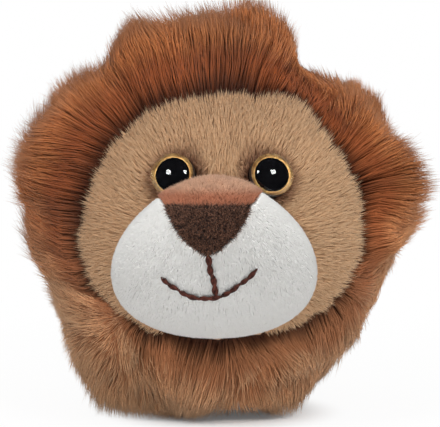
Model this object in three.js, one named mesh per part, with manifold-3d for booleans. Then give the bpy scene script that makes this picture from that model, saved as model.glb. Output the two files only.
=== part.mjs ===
// A palm-sized ball plush of a lion, in millimetres, +Z up, the face towards -Y, the lion's own left +X.
// The ball is sewn from panels of pile fabric over a fibre filling, with a bag of pellets in its seat.
// A padded muzzle is sewn into a hole in the face, and two plastic safety eyes are locked through the face
// with washers. Everything is built about the ball's centre, and a group lifts it onto the ground.
import * as THREE from "three";
import { mergeVertices } from "three/addons/utils/BufferGeometryUtils.js";
import Module from "manifold-3d";

const wasm = await Module();
wasm.setup();

// Fits shared by every piece
const SEAM_GAP = 0.3; // clearance between two panels, or a panel and the filling
const EYE_FIT = 0.12; // clearance between the moulded pieces of an eye
const CUT_OVERRUN = 6; // how far a cutting tool runs past what it cuts
const WELD_DISTANCE = 1e-4; // between two points of a geometry that are one

// The stuffed ball inside the cover
const BALL_RADIUS = 40;
const BALL_CENTRE_HEIGHT = 49;
const SEAT_DEPTH = 38; // from the centre down to the flattened seat of the filling
const SEAT_BLEND = 12; // how sharply the ball turns into its seat: a power

// Facets of the large round forms
const BALL_COLUMN_COUNT = 32;
const BALL_ROW_COUNT = 14;
const MANE_COLUMN_COUNT = 72;
const MANE_ROW_COUNT = 18;

// The face panel: short pile
const FACE_THICKNESS = 4;
const FACE_WIDTH = 72;
const FACE_HEIGHT = 62;
const FACE_RISE = 5; // the panel's centre above the ball's centre
const FACE_EDGE_POINT_COUNT = 36;

// Its edge seen from the front, anticlockwise from the lion's left, as shares of half its width and height.
// The forehead rises a little more on the lion's left than on its right.
const FACE_EDGE_SHARES = [
  [1, -0.1],
  [0.93, 0.28],
  [0.74, 0.63],
  [0.55, 0.91],
  [0.32, 1],
  [0.05, 0.93],
  [-0.2, 0.88],
  [-0.42, 0.9],
  [-0.63, 0.74],
  [-0.79, 0.47],
  [-0.94, 0.22],
  [-1, -0.15],
  [-0.9, -0.58],
  [-0.62, -0.86],
  [-0.05, -1],
  [0.52, -0.89],
  [0.84, -0.58],
];

// The mane and back: long pile that swells into tufts
const MANE_LEAST_REACH = 43.5; // from the ball's centre to the pile between two tufts
const MANE_REACH = 58; // to the tip of the longest tufts
const MANE_LEAN_DEG = 82; // from the face's axis to the ring that the tufts stand on
const MANE_FRONT_FADE_DEG = 33; // in front of that ring, down to the face
const MANE_BACK_FADE_DEG = 62; // behind it, into the back
const TUFT_ROUNDNESS = 0.62; // a power: lower is a squarer lobe
const BACK_REACH = 50;
const BACK_TUFT_SWELL = 2.6;
const BACK_TUFT_COUNT = 26;
const BACK_TUFT_SPREAD_DEG = 30;
const SEAT_FLAT_RADIUS = 15; // of the flat that the toy stands on
const SEAT_FADE_DEG = 12; // from that flat's edge into the tufts round it

// Each tuft round the face: its angle seen from the front, anticlockwise from the lion's left, and half its
// width, both in degrees, then the share of the way from the least reach to the full reach that it
// stands out.
const MANE_TUFT_SHARES = [
  [9, 14, 0.84],
  [24, 10, 0.63],
  [39, 12, 0.64],
  [55, 12, 0.24],
  [82, 17, 0.98],
  [97, 12, 0.98],
  [112, 16.5, 1.03],
  [139, 15, 0.96],
  [152, 11, 0.95],
  [164, 10, 1.05],
  [177, 12, 0.66],
  [195, 13, 0.44],
  [211, 12, 0.44],
  [222, 10, 0.68],
  [229, 11, 0.76],
  [238, 11, 0.94],
  [248, 11, 0.96],
  [260, 11, 0.7],
  [271, 10, 0.42],
  [285, 14, 0.5],
  [299, 11, 0.3],
  [312, 12, 0.28],
  [328, 14, 0.05],
  [345, 11, 0.08],
  [356, 9, 0.28],
];

// Seams of the long pile: the plane behind the ring, and the angles where its panels meet
const RING_SEAM_BEHIND = 8;
const CROWN_LEFT_SEAM_DEG = 62;
const CROWN_RIGHT_SEAM_DEG = 125;
const CHEST_RIGHT_SEAM_DEG = 204;
const CHEST_MIDDLE_SEAM_DEG = 270;
const CHEST_LEFT_SEAM_DEG = 334;
const SECTOR_STEP_DEG = 20;
const SEAT_PANEL_RADIUS = 24;
const SEAT_PANEL_SIDE_COUNT = 32;

// The pellet bag that weights the seat
const PELLET_BAG_RADIUS = 17;
const PELLET_BAG_HEIGHT = 10;
const PELLET_BAG_HEM = 2.2;
const PELLET_BAG_HEM_THICKNESS = 0.8;
const PELLET_BAG_SIDE_COUNT = 20;
const PELLET_BAG_CURVE_STEP_COUNT = 5;

// The muzzle, an egg that is fuller below, padded behind and covered in three fabrics
const MUZZLE_WIDTH = 50;
const MUZZLE_HEIGHT = 40;
const MUZZLE_DEPTH = 14.3; // from its widest section to the tip
const MUZZLE_FORWARD = 44.6; // of its widest section from the ball's centre
const MUZZLE_DROP = 4.8;
const MUZZLE_SIDE_SHIFT = -1.9; // sewn in by hand, a little to the lion's right
const MUZZLE_TAPER_SHARE = 0.2; // how much narrower its top is than its middle
const MUZZLE_COLUMN_COUNT = 32;
const MUZZLE_ROW_COUNT = 12;
const PAD_THICKNESS = 2;
const BRIDGE_THICKNESS = 2.4;
const NOSE_THICKNESS = 2.9;
const MUZZLE_SKIN = Math.max(PAD_THICKNESS, BRIDGE_THICKNESS, NOSE_THICKNESS); // padding to proudest pile
const PAD_SURFACE_INSET = MUZZLE_SKIN - PAD_THICKNESS;

// The nose and the bridge above it, as outlines seen from the front, from the muzzle's centre
const NOSE_SIDE_SHIFT = -1.4;
const NOSE_TOP_WIDTH = 18.8;
const NOSE_TOP_RISE = 12.8;
const NOSE_TIP_RISE = 2;
const NOSE_SIDE_BOW_SHARE = 0.74; // where the bowed side passes, as a share of half the top width
const NOSE_SIDE_DROP_SHARE = 0.3; // and as a share of the nose's height, from its tip
const BRIDGE_FLARE_SHARE = 0.9; // how far each side of the bridge spreads, as a share of its height
const NOSE_CURVE_STEP_COUNT = 8;

// The embroidered mouth
const THREAD_RADIUS = 0.42;
const THREAD_PINCH_SHARE = 0.55; // the thread's radius where it dives into the fabric
const THREAD_SINK = 0.1; // its centreline below the pile
const THREAD_SIDE_COUNT = 6;
const STITCH_STEP_COUNT = 4;
const SMILE_WIDTH = 22.2;
const SMILE_DEPTH = 6.1;
const SMILE_ENDS_DROP = 1.9; // the middle of its two ends below the muzzle's centre
const SMILE_TILT = 1.05; // how much the lion's left end is above that, and the right end below
const SMILE_SIDE_SHIFT = -1.1;
const SMILE_STITCH_COUNT = 7;
const LIP_STITCH_COUNT = 3;
const LIP_LEAN = 1.9; // how far the upright stitching leans to the lion's left on its way down

// The safety eyes
const EYE_SPACING = 23;
const EYE_RISE = 14.5; // above the ball's centre
const EYE_SINK = 1.7; // how far the eye is pressed into the pile
const EYE_DIAMETER = 10.5;
const EYE_FLANGE = 1.1; // thickness of the black moulding behind the iris
const PUPIL_DIAMETER = 7;
const PUPIL_HEIGHT = 0.9;
const IRIS_THICKNESS = 0.5;
const LENS_RIM = 1.2; // height of the clear dome's straight side
const LENS_RISE = 2.9; // height of its crown above that
const LENS_LIP = 0.5; // width of the side's wall outside the iris
const EYE_SIDE_COUNT = 20;
const DOME_STEP_COUNT = 6;
const SHANK_DIAMETER = 2.8;
const SHANK_LENGTH = 13;
const SHANK_RIDGE_COUNT = 4;
const RIDGE_HEIGHT = 0.35;
const RIDGE_PITCH = 1.5;
const WASHER_DIAMETER = 10;
const WASHER_THICKNESS = 1.2;
const WASHER_TOOTH_COUNT = 8;
const WASHER_TOOTH_LENGTH = 1.1;

const MATERIALS = {
  mane: new THREE.MeshStandardMaterial({ color: 0x8a5430, roughness: 0.9, metalness: 0 }),
  face: new THREE.MeshStandardMaterial({ color: 0xb58a62, roughness: 0.95, metalness: 0 }),
  pad: new THREE.MeshStandardMaterial({ color: 0xe2e2dc, roughness: 1, metalness: 0 }),
  bridge: new THREE.MeshStandardMaterial({ color: 0xb0785a, roughness: 0.95, metalness: 0 }),
  nose: new THREE.MeshStandardMaterial({ color: 0x46302a, roughness: 0.95, metalness: 0 }),
  thread: new THREE.MeshStandardMaterial({ color: 0x4a241f, roughness: 0.7, metalness: 0 }),
  filling: new THREE.MeshStandardMaterial({ color: 0xf2f1ec, roughness: 1, metalness: 0 }),
  pelletBag: new THREE.MeshStandardMaterial({ color: 0xd8d4c8, roughness: 0.9, metalness: 0 }),
  lens: new THREE.MeshStandardMaterial({
    color: 0xf4f6f6,
    roughness: 0.05,
    metalness: 0,
    opacity: 0.3,
    transparent: true,
  }),
  iris: new THREE.MeshStandardMaterial({ color: 0xb98438, roughness: 0.3, metalness: 0.8 }),
  eyeBlack: new THREE.MeshStandardMaterial({ color: 0x0b0c0e, roughness: 0.2, metalness: 0 }),
  washer: new THREE.MeshStandardMaterial({ color: 0xe6e6e2, roughness: 0.5, metalness: 0 }),
};

const radians = THREE.MathUtils.degToRad;
const degrees = THREE.MathUtils.radToDeg;
const FULL_TURN_DEG = 360;

// A closed geometry as a solid, placed by a matrix if one is given.
function solidOf(geometry, placing) {
  const bare = new THREE.BufferGeometry();
  bare.setAttribute("position", geometry.getAttribute("position").clone());
  if (geometry.index) bare.setIndex(geometry.index.clone());
  if (placing) bare.applyMatrix4(placing);
  const merged = mergeVertices(bare, WELD_DISTANCE);
  return new wasm.Manifold(
    new wasm.Mesh({
      numProp: 3,
      vertProperties: merged.attributes.position.array,
      triVerts: new Uint32Array(merged.index.array),
    }),
  );
}

// A solid as a named mesh.
function meshOf(name, solid, material) {
  const { numProp, numVert, vertProperties, triVerts } = solid.getMesh();
  const positions = new Float32Array(numVert * 3);
  for (let vertex = 0; vertex < numVert; vertex++)
    positions.set(vertProperties.subarray(vertex * numProp, vertex * numProp + 3), vertex * 3);
  const geometry = new THREE.BufferGeometry();
  geometry.setAttribute("position", new THREE.BufferAttribute(positions, 3));
  geometry.setIndex(new THREE.BufferAttribute(triVerts, 1));
  geometry.computeVertexNormals();
  const mesh = new THREE.Mesh(geometry, material);
  mesh.name = name;
  return mesh;
}

// A round form about the ball's centre, its surface at radiusOf(direction) and its poles front and back.
function roundForm(radiusOf, around, rows) {
  const geometry = new THREE.SphereGeometry(1, around, rows);
  const position = geometry.getAttribute("position");
  const direction = new THREE.Vector3();
  for (let vertex = 0; vertex < position.count; vertex++) {
    direction.fromBufferAttribute(position, vertex).normalize();
    const radius = radiusOf(direction);
    position.setXYZ(vertex, direction.x * radius, direction.y * radius, direction.z * radius);
  }
  return solidOf(geometry);
}

// The ball, grown by some thickness, with its underside flattened where the toy sits.
function ballRadius(direction, growth) {
  const round = BALL_RADIUS + growth;
  const down = Math.max(-direction.z, 1e-3);
  const toSeat = (SEAT_DEPTH + growth) / down;
  return (round ** -SEAT_BLEND + toSeat ** -SEAT_BLEND) ** (-1 / SEAT_BLEND);
}

function ball(growth) {
  return roundForm((direction) => ballRadius(direction, growth), BALL_COLUMN_COUNT, BALL_ROW_COUNT);
}

// A smooth step from 0 to 1.
function ease(value) {
  const share = THREE.MathUtils.clamp(value, 0, 1);
  return share * share * (3 - 2 * share);
}

// A rounded lobe: 1 at its middle and 0 past its half width.
function lobe(offset, halfWidth) {
  const share = Math.abs(offset) / halfWidth;
  return share >= 1 ? 0 : Math.cos((share * Math.PI) / 2) ** TUFT_ROUNDNESS;
}

// Evenly spread directions over the back half, on a spiral.
const BACK_DIRECTIONS = Array.from({ length: BACK_TUFT_COUNT }, (_, index) => {
  const backward = (index + 0.5) / BACK_TUFT_COUNT;
  const turn = index * Math.PI * (3 - Math.sqrt(5));
  const across = Math.sqrt(1 - backward * backward);
  return new THREE.Vector3(across * Math.cos(turn), backward, across * Math.sin(turn));
});

// How far the tips of the long pile stand from the ball's centre.
function maneReach(direction) {
  const fromFront = degrees(Math.acos(THREE.MathUtils.clamp(-direction.y, -1, 1)));
  const around = degrees(Math.atan2(direction.z, direction.x));
  let standing = 0;
  for (const [angle, halfWidth, share] of MANE_TUFT_SHARES) {
    const turn = THREE.MathUtils.euclideanModulo(around - angle, FULL_TURN_DEG);
    const offset = Math.min(turn, FULL_TURN_DEG - turn);
    standing = Math.max(standing, share * lobe(offset, halfWidth));
  }
  const behindRing = fromFront - MANE_LEAN_DEG;
  const fade = behindRing < 0 ? MANE_FRONT_FADE_DEG : MANE_BACK_FADE_DEG;
  const onRing = 1 - ease(Math.abs(behindRing) / fade);
  let swell = 0;
  for (const tuft of BACK_DIRECTIONS) {
    const apart = degrees(direction.angleTo(tuft));
    swell = Math.max(swell, lobe(apart, BACK_TUFT_SPREAD_DEG));
  }
  const behind = ease(behindRing / MANE_BACK_FADE_DEG);
  const least = THREE.MathUtils.lerp(MANE_LEAST_REACH, BACK_REACH - BACK_TUFT_SWELL, behind);
  const onTuft = (MANE_REACH - MANE_LEAST_REACH) * standing * onRing;
  const tufted = least + onTuft + BACK_TUFT_SWELL * swell * behind;
  const fromDown = degrees(Math.acos(THREE.MathUtils.clamp(-direction.z, -1, 1)));
  const flatEdge = degrees(Math.atan2(SEAT_FLAT_RADIUS, BALL_CENTRE_HEIGHT));
  const onSeat = 1 - ease((fromDown - flatEdge) / SEAT_FADE_DEG);
  return THREE.MathUtils.lerp(tufted, Math.hypot(SEAT_FLAT_RADIUS, BALL_CENTRE_HEIGHT), onSeat);
}

// An outline in the X-Z plane, run from one Y to another.
function prism(outline, fromY, toY) {
  const shape = new THREE.Shape(outline);
  const geometry = new THREE.ExtrudeGeometry(shape, { depth: toY - fromY, bevelEnabled: false });
  // The outline's own x, y and depth become X, Z and -Y.
  const upright = new THREE.Matrix4().makeRotationX(Math.PI / 2);
  upright.setPosition(0, toY, 0);
  return solidOf(geometry, upright);
}

// A profile of [radius, height] points turned about its own axis, which a matrix then places.
function turned(profile, sides, placing) {
  const points = profile.map(([radius, height]) => new THREE.Vector2(radius, height));
  return solidOf(new THREE.LatheGeometry(points, sides), placing);
}

const UPRIGHT = new THREE.Matrix4().makeRotationX(Math.PI / 2); // turns a lathe's axis up to +Z
const FAR = 2 * MANE_REACH; // beyond every surface of the toy

// The face's outline as a prism towards the front.
function facePrism(growth) {
  const corners = FACE_EDGE_SHARES.map(
    ([across, up]) =>
      new THREE.Vector3((FACE_WIDTH / 2 + growth) * across, FACE_RISE + (FACE_HEIGHT / 2 + growth) * up, 0),
  );
  const edge = new THREE.CatmullRomCurve3(corners, true).getPoints(FACE_EDGE_POINT_COUNT).slice(0, -1);
  return prism(
    edge.map((point) => new THREE.Vector2(point.x, point.y)),
    -FAR,
    0,
  );
}

// The part of space between two angles about the face's axis, less half a seam on each side.
function sector(fromDeg, toDeg) {
  const apex = [new THREE.Vector2(0, 0)];
  const steps = Math.ceil((toDeg - fromDeg) / SECTOR_STEP_DEG);
  const rim = Array.from({ length: steps + 1 }, (_, step) => {
    const angle = radians(THREE.MathUtils.lerp(fromDeg, toDeg, step / steps));
    return new THREE.Vector2(FAR * Math.cos(angle), FAR * Math.sin(angle));
  });
  let solid = prism([...apex, ...rim], -FAR, FAR);
  for (const edge of [fromDeg, toDeg]) {
    const slot = new THREE.BoxGeometry(2 * FAR, 4 * FAR, SEAM_GAP);
    slot.translate(FAR, 0, 0);
    solid = solid.subtract(solidOf(slot, new THREE.Matrix4().makeRotationY(-radians(edge))));
  }
  return solid;
}

// A block of space on one side of a plane across an axis.
function sideOf(axis, sign, offset) {
  const geometry = new THREE.BoxGeometry(2 * FAR, 2 * FAR, 2 * FAR);
  const place = { x: 0, y: 0, z: 0, [axis]: offset + sign * FAR };
  geometry.translate(place.x, place.y, place.z);
  return solidOf(geometry);
}

// The muzzle's skin, drawn in by some inset, as a point for a direction from its centre.
function muzzlePoint(direction, inset) {
  const narrowing = 1 - MUZZLE_TAPER_SHARE * direction.z;
  return new THREE.Vector3(
    MUZZLE_SIDE_SHIFT + (MUZZLE_WIDTH / 2 - inset) * direction.x * narrowing,
    -MUZZLE_FORWARD + (MUZZLE_DEPTH - inset) * direction.y,
    -MUZZLE_DROP + (MUZZLE_HEIGHT / 2 - inset) * direction.z,
  );
}

function muzzleForm(inset) {
  const geometry = new THREE.SphereGeometry(1, MUZZLE_COLUMN_COUNT, MUZZLE_ROW_COUNT);
  const position = geometry.getAttribute("position");
  const direction = new THREE.Vector3();
  for (let vertex = 0; vertex < position.count; vertex++) {
    const point = muzzlePoint(direction.fromBufferAttribute(position, vertex), inset);
    position.setXYZ(vertex, point.x, point.y, point.z);
  }
  return solidOf(geometry);
}

// The point on the muzzle's front at a place seen from the front, measured from the muzzle's centre.
function onMuzzle(sideways, up, inset) {
  const z = up / (MUZZLE_HEIGHT / 2 - inset);
  const x = sideways / ((MUZZLE_WIDTH / 2 - inset) * (1 - MUZZLE_TAPER_SHARE * z));
  return muzzlePoint(new THREE.Vector3(x, -Math.sqrt(1 - x * x - z * z), z), inset);
}

// The outline of the bridge and nose together: straight sides down to the nose, then bowed sides
// to its tip.
function noseOutline(growth) {
  const side = (sign) => {
    const top = new THREE.Vector2(sign * (NOSE_TOP_WIDTH / 2 + growth), NOSE_TOP_RISE);
    const height = NOSE_TOP_RISE - NOSE_TIP_RISE;
    const bow = new THREE.Vector2(
      sign * ((NOSE_SIDE_BOW_SHARE * NOSE_TOP_WIDTH) / 2 + growth),
      NOSE_TIP_RISE + NOSE_SIDE_DROP_SHARE * height,
    );
    const tip = new THREE.Vector2(0, NOSE_TIP_RISE - growth);
    const overBridge = MUZZLE_HEIGHT / 2 + CUT_OVERRUN - NOSE_TOP_RISE;
    const flare = BRIDGE_FLARE_SHARE * overBridge;
    const brow = new THREE.Vector2(top.x + sign * flare, NOSE_TOP_RISE + overBridge);
    return [brow, ...new THREE.QuadraticBezierCurve(top, bow, tip).getPoints(NOSE_CURVE_STEP_COUNT)];
  };
  const right = side(-1);
  const left = side(1).reverse().slice(1);
  return [...right, ...left].map(
    (point) =>
      new THREE.Vector2(
        point.x + MUZZLE_SIDE_SHIFT + NOSE_SIDE_SHIFT,
        point.y - MUZZLE_DROP,
      ),
  );
}

function nosePrism(growth) {
  return prism(noseOutline(growth), -FAR, 0);
}

// A stitched line of thread: a tube along points, drawn in where each stitch dives into the fabric.
function stitching(pointAt, stitches, radius) {
  const steps = stitches * STITCH_STEP_COUNT;
  const positions = [];
  const faces = [];
  const centres = Array.from({ length: steps + 1 }, (_, step) => pointAt(step / steps));
  const outward = new THREE.Vector3(0, -1, 0);
  centres.forEach((centre, step) => {
    const before = centres[Math.max(step - 1, 0)];
    const after = centres[Math.min(step + 1, steps)];
    const along = after.clone().sub(before).normalize();
    const sideways = along.clone().cross(outward).normalize();
    const lift = sideways.clone().cross(along);
    const dive = Math.abs(Math.sin((step / STITCH_STEP_COUNT) * Math.PI));
    const drawn = radius * THREE.MathUtils.lerp(THREAD_PINCH_SHARE, 1, Math.sqrt(dive));
    for (let side = 0; side < THREAD_SIDE_COUNT; side++) {
      const angle = (side / THREAD_SIDE_COUNT) * 2 * Math.PI;
      const point = centre.clone();
      point.addScaledVector(sideways, drawn * Math.cos(angle));
      point.addScaledVector(lift, drawn * Math.sin(angle));
      positions.push(point.x, point.y, point.z);
    }
  });
  for (let step = 0; step < steps; step++)
    for (let side = 0; side < THREAD_SIDE_COUNT; side++) {
      const here = step * THREAD_SIDE_COUNT + side;
      const next = step * THREAD_SIDE_COUNT + ((side + 1) % THREAD_SIDE_COUNT);
      faces.push(here, here + THREAD_SIDE_COUNT, next);
      faces.push(next, here + THREAD_SIDE_COUNT, next + THREAD_SIDE_COUNT);
    }
  for (let side = 1; side < THREAD_SIDE_COUNT - 1; side++) {
    const last = steps * THREAD_SIDE_COUNT;
    faces.push(0, side, side + 1);
    faces.push(last, last + side + 1, last + side);
  }
  const geometry = new THREE.BufferGeometry();
  geometry.setAttribute("position", new THREE.Float32BufferAttribute(positions, 3));
  geometry.setIndex(faces);
  return solidOf(geometry);
}

// The smile's centreline, from the lion's right end to its left.
function smilePoint(share) {
  const across = 2 * share - 1;
  const sideways = SMILE_SIDE_SHIFT + (SMILE_WIDTH / 2) * across;
  const up = -SMILE_ENDS_DROP + SMILE_TILT * across - SMILE_DEPTH * (1 - across * across);
  return onMuzzle(sideways, up, PAD_SURFACE_INSET + THREAD_SINK);
}

// The upright line from the nose's tip, which stops just above the smile.
function lipPoint(share) {
  const bottom = -SMILE_ENDS_DROP - SMILE_DEPTH + 2 * THREAD_RADIUS + SEAM_GAP;
  const up = THREE.MathUtils.lerp(NOSE_TIP_RISE - 2 * SEAM_GAP, bottom, share);
  const sideways = NOSE_SIDE_SHIFT + LIP_LEAN * share;
  return onMuzzle(sideways, up, PAD_SURFACE_INSET + THREAD_SINK);
}

// The place of an eye on the pile of the face, and the matrix that stands its axis outwards.
function eyePlacing(side) {
  const surface = BALL_RADIUS + SEAM_GAP + FACE_THICKNESS;
  const x = (side * EYE_SPACING) / 2;
  const place = new THREE.Vector3(x, -Math.sqrt(surface ** 2 - x ** 2 - EYE_RISE ** 2), EYE_RISE);
  const turn = new THREE.Quaternion().setFromUnitVectors(
    new THREE.Vector3(0, 1, 0),
    place.clone().normalize(),
  );
  return new THREE.Matrix4().compose(place, turn, new THREE.Vector3(1, 1, 1));
}

const EYE_RADIUS = EYE_DIAMETER / 2;
const FLANGE_BACK = SEAM_GAP - EYE_SINK; // the back of the black moulding, from the pile's surface
const FLANGE_FRONT = FLANGE_BACK + EYE_FLANGE;
const LENS_BACK = FLANGE_FRONT + EYE_FIT;
const WASHER_SAGITTA = BALL_RADIUS - Math.sqrt(BALL_RADIUS ** 2 - (WASHER_DIAMETER / 2) ** 2);
const WASHER_FRONT = -FACE_THICKNESS - WASHER_SAGITTA - SEAM_GAP;
const RIDGE_RADIUS = SHANK_DIAMETER / 2 + RIDGE_HEIGHT;

// The hole that an eye needs through the face and into the filling.
function eyeSocket(placing) {
  const shankHole = RIDGE_RADIUS + SEAM_GAP;
  const washerHole = WASHER_DIAMETER / 2 + SEAM_GAP;
  const profile = [
    [0, FLANGE_BACK - SHANK_LENGTH - SEAM_GAP],
    [shankHole, FLANGE_BACK - SHANK_LENGTH - SEAM_GAP],
    [shankHole, WASHER_FRONT - WASHER_THICKNESS - SEAM_GAP],
    [washerHole, WASHER_FRONT - WASHER_THICKNESS - SEAM_GAP],
    [washerHole, -FACE_THICKNESS + CUT_OVERRUN],
    [0, -FACE_THICKNESS + CUT_OVERRUN],
  ];
  return turned(profile, EYE_SIDE_COUNT, placing);
}

// The outside of the clear dome, from the foot of its straight side to its crown.
function domeProfile(growth) {
  const shoulder = LENS_BACK + LENS_RIM;
  return Array.from({ length: DOME_STEP_COUNT + 1 }, (_, step) => {
    const angle = (step / DOME_STEP_COUNT) * (Math.PI / 2);
    const radius = step === DOME_STEP_COUNT ? 0 : (EYE_RADIUS + growth) * Math.cos(angle);
    return [radius, shoulder + (LENS_RISE + growth) * Math.sin(angle)];
  });
}

// The room that an eye needs in the fabrics round it: the muzzle's top laps over its dome.
function eyeRoom(placing) {
  const shankHole = RIDGE_RADIUS + SEAM_GAP;
  const profile = [
    [0, -FACE_THICKNESS - CUT_OVERRUN],
    [shankHole, -FACE_THICKNESS - CUT_OVERRUN],
    [shankHole, -EYE_SINK],
    [EYE_RADIUS + SEAM_GAP, -EYE_SINK],
    ...domeProfile(SEAM_GAP),
  ];
  return turned(profile, EYE_SIDE_COUNT, placing);
}

// The black moulding: a ridged shank, a flange and the raised pupil.
function eyeMoulding() {
  const shank = SHANK_DIAMETER / 2;
  const tip = FLANGE_BACK - SHANK_LENGTH;
  const ridges = Array.from({ length: SHANK_RIDGE_COUNT }, (_, ridge) => {
    const start = WASHER_FRONT - WASHER_THICKNESS - (SHANK_RIDGE_COUNT - ridge) * RIDGE_PITCH;
    return [
      [shank, start],
      [RIDGE_RADIUS, start + RIDGE_PITCH - RIDGE_HEIGHT],
      [shank, start + RIDGE_PITCH - RIDGE_HEIGHT / 2],
    ];
  });
  return turned(
    [
      [0, tip],
      [shank - RIDGE_HEIGHT, tip],
      ...ridges.flat(),
      [shank, FLANGE_BACK],
      [EYE_RADIUS, FLANGE_BACK],
      [EYE_RADIUS, FLANGE_FRONT],
      [PUPIL_DIAMETER / 2, FLANGE_FRONT],
      [PUPIL_DIAMETER / 2 - PUPIL_HEIGHT / 4, FLANGE_FRONT + PUPIL_HEIGHT],
      [0, FLANGE_FRONT + PUPIL_HEIGHT],
    ],
    EYE_SIDE_COUNT,
  );
}

// The gold ring that lies on the flange round the pupil, thinner towards its rim.
function eyeIris() {
  const inner = PUPIL_DIAMETER / 2 + EYE_FIT;
  const outer = EYE_RADIUS - LENS_LIP - EYE_FIT;
  return turned(
    [
      [inner, LENS_BACK],
      [outer, LENS_BACK],
      [outer, LENS_BACK + IRIS_THICKNESS / 2],
      [inner, LENS_BACK + IRIS_THICKNESS],
      [inner, LENS_BACK],
    ],
    EYE_SIDE_COUNT,
  );
}

// The clear dome, hollowed at the back for the iris and the pupil.
function eyeLens() {
  const recess = EYE_RADIUS - LENS_LIP;
  const overIris = LENS_BACK + IRIS_THICKNESS + EYE_FIT;
  const overPupil = FLANGE_FRONT + PUPIL_HEIGHT + EYE_FIT;
  return turned(
    [
      [0, overPupil],
      [PUPIL_DIAMETER / 2 + EYE_FIT, overPupil],
      [PUPIL_DIAMETER / 2 + EYE_FIT, overIris],
      [recess, overIris],
      [recess, LENS_BACK],
      [EYE_RADIUS, LENS_BACK],
      ...domeProfile(0),
    ],
    EYE_SIDE_COUNT,
  );
}

// The lock washer behind the face, whose teeth grip the ridges of the shank.
function eyeWasher() {
  const shape = new THREE.Shape();
  shape.absarc(0, 0, WASHER_DIAMETER / 2, 0, 2 * Math.PI);
  const grip = RIDGE_RADIUS + EYE_FIT;
  const hole = Array.from({ length: 4 * WASHER_TOOTH_COUNT }, (_, corner) => {
    const radius = corner % 4 < 2 ? grip : grip + WASHER_TOOTH_LENGTH;
    const angle = ((corner + 0.5) / (4 * WASHER_TOOTH_COUNT)) * 2 * Math.PI;
    return new THREE.Vector2(radius * Math.cos(angle), radius * Math.sin(angle));
  });
  shape.holes.push(new THREE.Path(hole.reverse()));
  const geometry = new THREE.ExtrudeGeometry(shape, {
    depth: WASHER_THICKNESS,
    bevelEnabled: false,
    curveSegments: EYE_SIDE_COUNT / 4,
  });
  // Its thickness runs along the eye's axis, back from the face.
  geometry.rotateX(Math.PI / 2);
  geometry.translate(0, WASHER_FRONT, 0);
  return solidOf(geometry);
}

function eye(side, name) {
  const group = new THREE.Group();
  eyePlacing(side).decompose(group.position, group.quaternion, group.scale);
  group.add(
    meshOf(`${name}_eye_moulding`, eyeMoulding(), MATERIALS.eyeBlack),
    meshOf(`${name}_eye_iris`, eyeIris(), MATERIALS.iris),
    meshOf(`${name}_eye_lens`, eyeLens(), MATERIALS.lens),
    meshOf(`${name}_eye_washer`, eyeWasher(), MATERIALS.washer),
  );
  return group;
}

// The pellet bag: two rounds of cloth with a hem, lying in a pocket that opens at the seat.
function pelletBagProfile(growth) {
  const half = PELLET_BAG_HEIGHT / 2 + growth;
  const belly = PELLET_BAG_RADIUS - PELLET_BAG_HEM;
  const hem = PELLET_BAG_HEM_THICKNESS / 2 + growth;
  const upper = Array.from({ length: PELLET_BAG_CURVE_STEP_COUNT }, (_, step) => {
    const angle = (1 - step / PELLET_BAG_CURVE_STEP_COUNT) * (Math.PI / 2);
    return [belly * Math.cos(angle), hem + (half - hem) * Math.sin(angle)];
  });
  return [
    [0, -half],
    ...upper.slice(1).map(([radius, height]) => [radius, -height]),
    [PELLET_BAG_RADIUS + growth, -hem],
    [PELLET_BAG_RADIUS + growth, hem],
    ...upper.slice(1).reverse(),
    [0, half],
  ];
}

function pelletBagPlacing() {
  const height = -ballRadius(new THREE.Vector3(0, 0, -1), 0) + PELLET_BAG_HEIGHT / 2;
  return UPRIGHT.clone().setPosition(0, 0, height);
}

function seatCylinder(radius) {
  const top = -SEAT_DEPTH + BALL_RADIUS / 2;
  const bottom = -BALL_CENTRE_HEIGHT - CUT_OVERRUN;
  return turned(
    [
      [0, bottom],
      [radius, bottom],
      [radius, top],
      [0, top],
    ],
    SEAT_PANEL_SIDE_COUNT,
    UPRIGHT,
  );
}

// The whole toy
const aboveGround = sideOf("z", 1, -BALL_CENTRE_HEIGHT);
const inFront = sideOf("y", -1, RING_SEAM_BEHIND - SEAM_GAP / 2);
const behind = sideOf("y", 1, RING_SEAM_BEHIND + SEAM_GAP / 2);
const eyePlaces = [eyePlacing(1), eyePlacing(-1)];
const withoutEyes = (solid) => eyePlaces.reduce((rest, place) => rest.subtract(eyeRoom(place)), solid);

// Long pile
const coverInside = ball(SEAM_GAP);
const longPile = roundForm(maneReach, MANE_COLUMN_COUNT, MANE_ROW_COUNT)
  .intersect(aboveGround)
  .subtract(coverInside);
const seatFur = longPile.intersect(seatCylinder(SEAT_PANEL_RADIUS));
const standing = longPile.subtract(seatCylinder(SEAT_PANEL_RADIUS + SEAM_GAP));
const ring = standing.intersect(inFront).subtract(facePrism(SEAM_GAP));
const back = standing.intersect(behind);

const RING_PANELS = {
  crown_fur: [CROWN_LEFT_SEAM_DEG, CROWN_RIGHT_SEAM_DEG],
  right_mane_fur: [CROWN_RIGHT_SEAM_DEG, CHEST_RIGHT_SEAM_DEG],
  right_chest_fur: [CHEST_RIGHT_SEAM_DEG, CHEST_MIDDLE_SEAM_DEG],
  left_chest_fur: [CHEST_MIDDLE_SEAM_DEG, CHEST_LEFT_SEAM_DEG],
  left_mane_fur: [CHEST_LEFT_SEAM_DEG, CROWN_LEFT_SEAM_DEG + FULL_TURN_DEG],
};

// The face, with a hole for the muzzle
const faceSkin = ball(SEAM_GAP + FACE_THICKNESS).intersect(facePrism(0)).subtract(coverInside);
const facePanel = withoutEyes(faceSkin.subtract(muzzleForm(-SEAM_GAP)));

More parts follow.
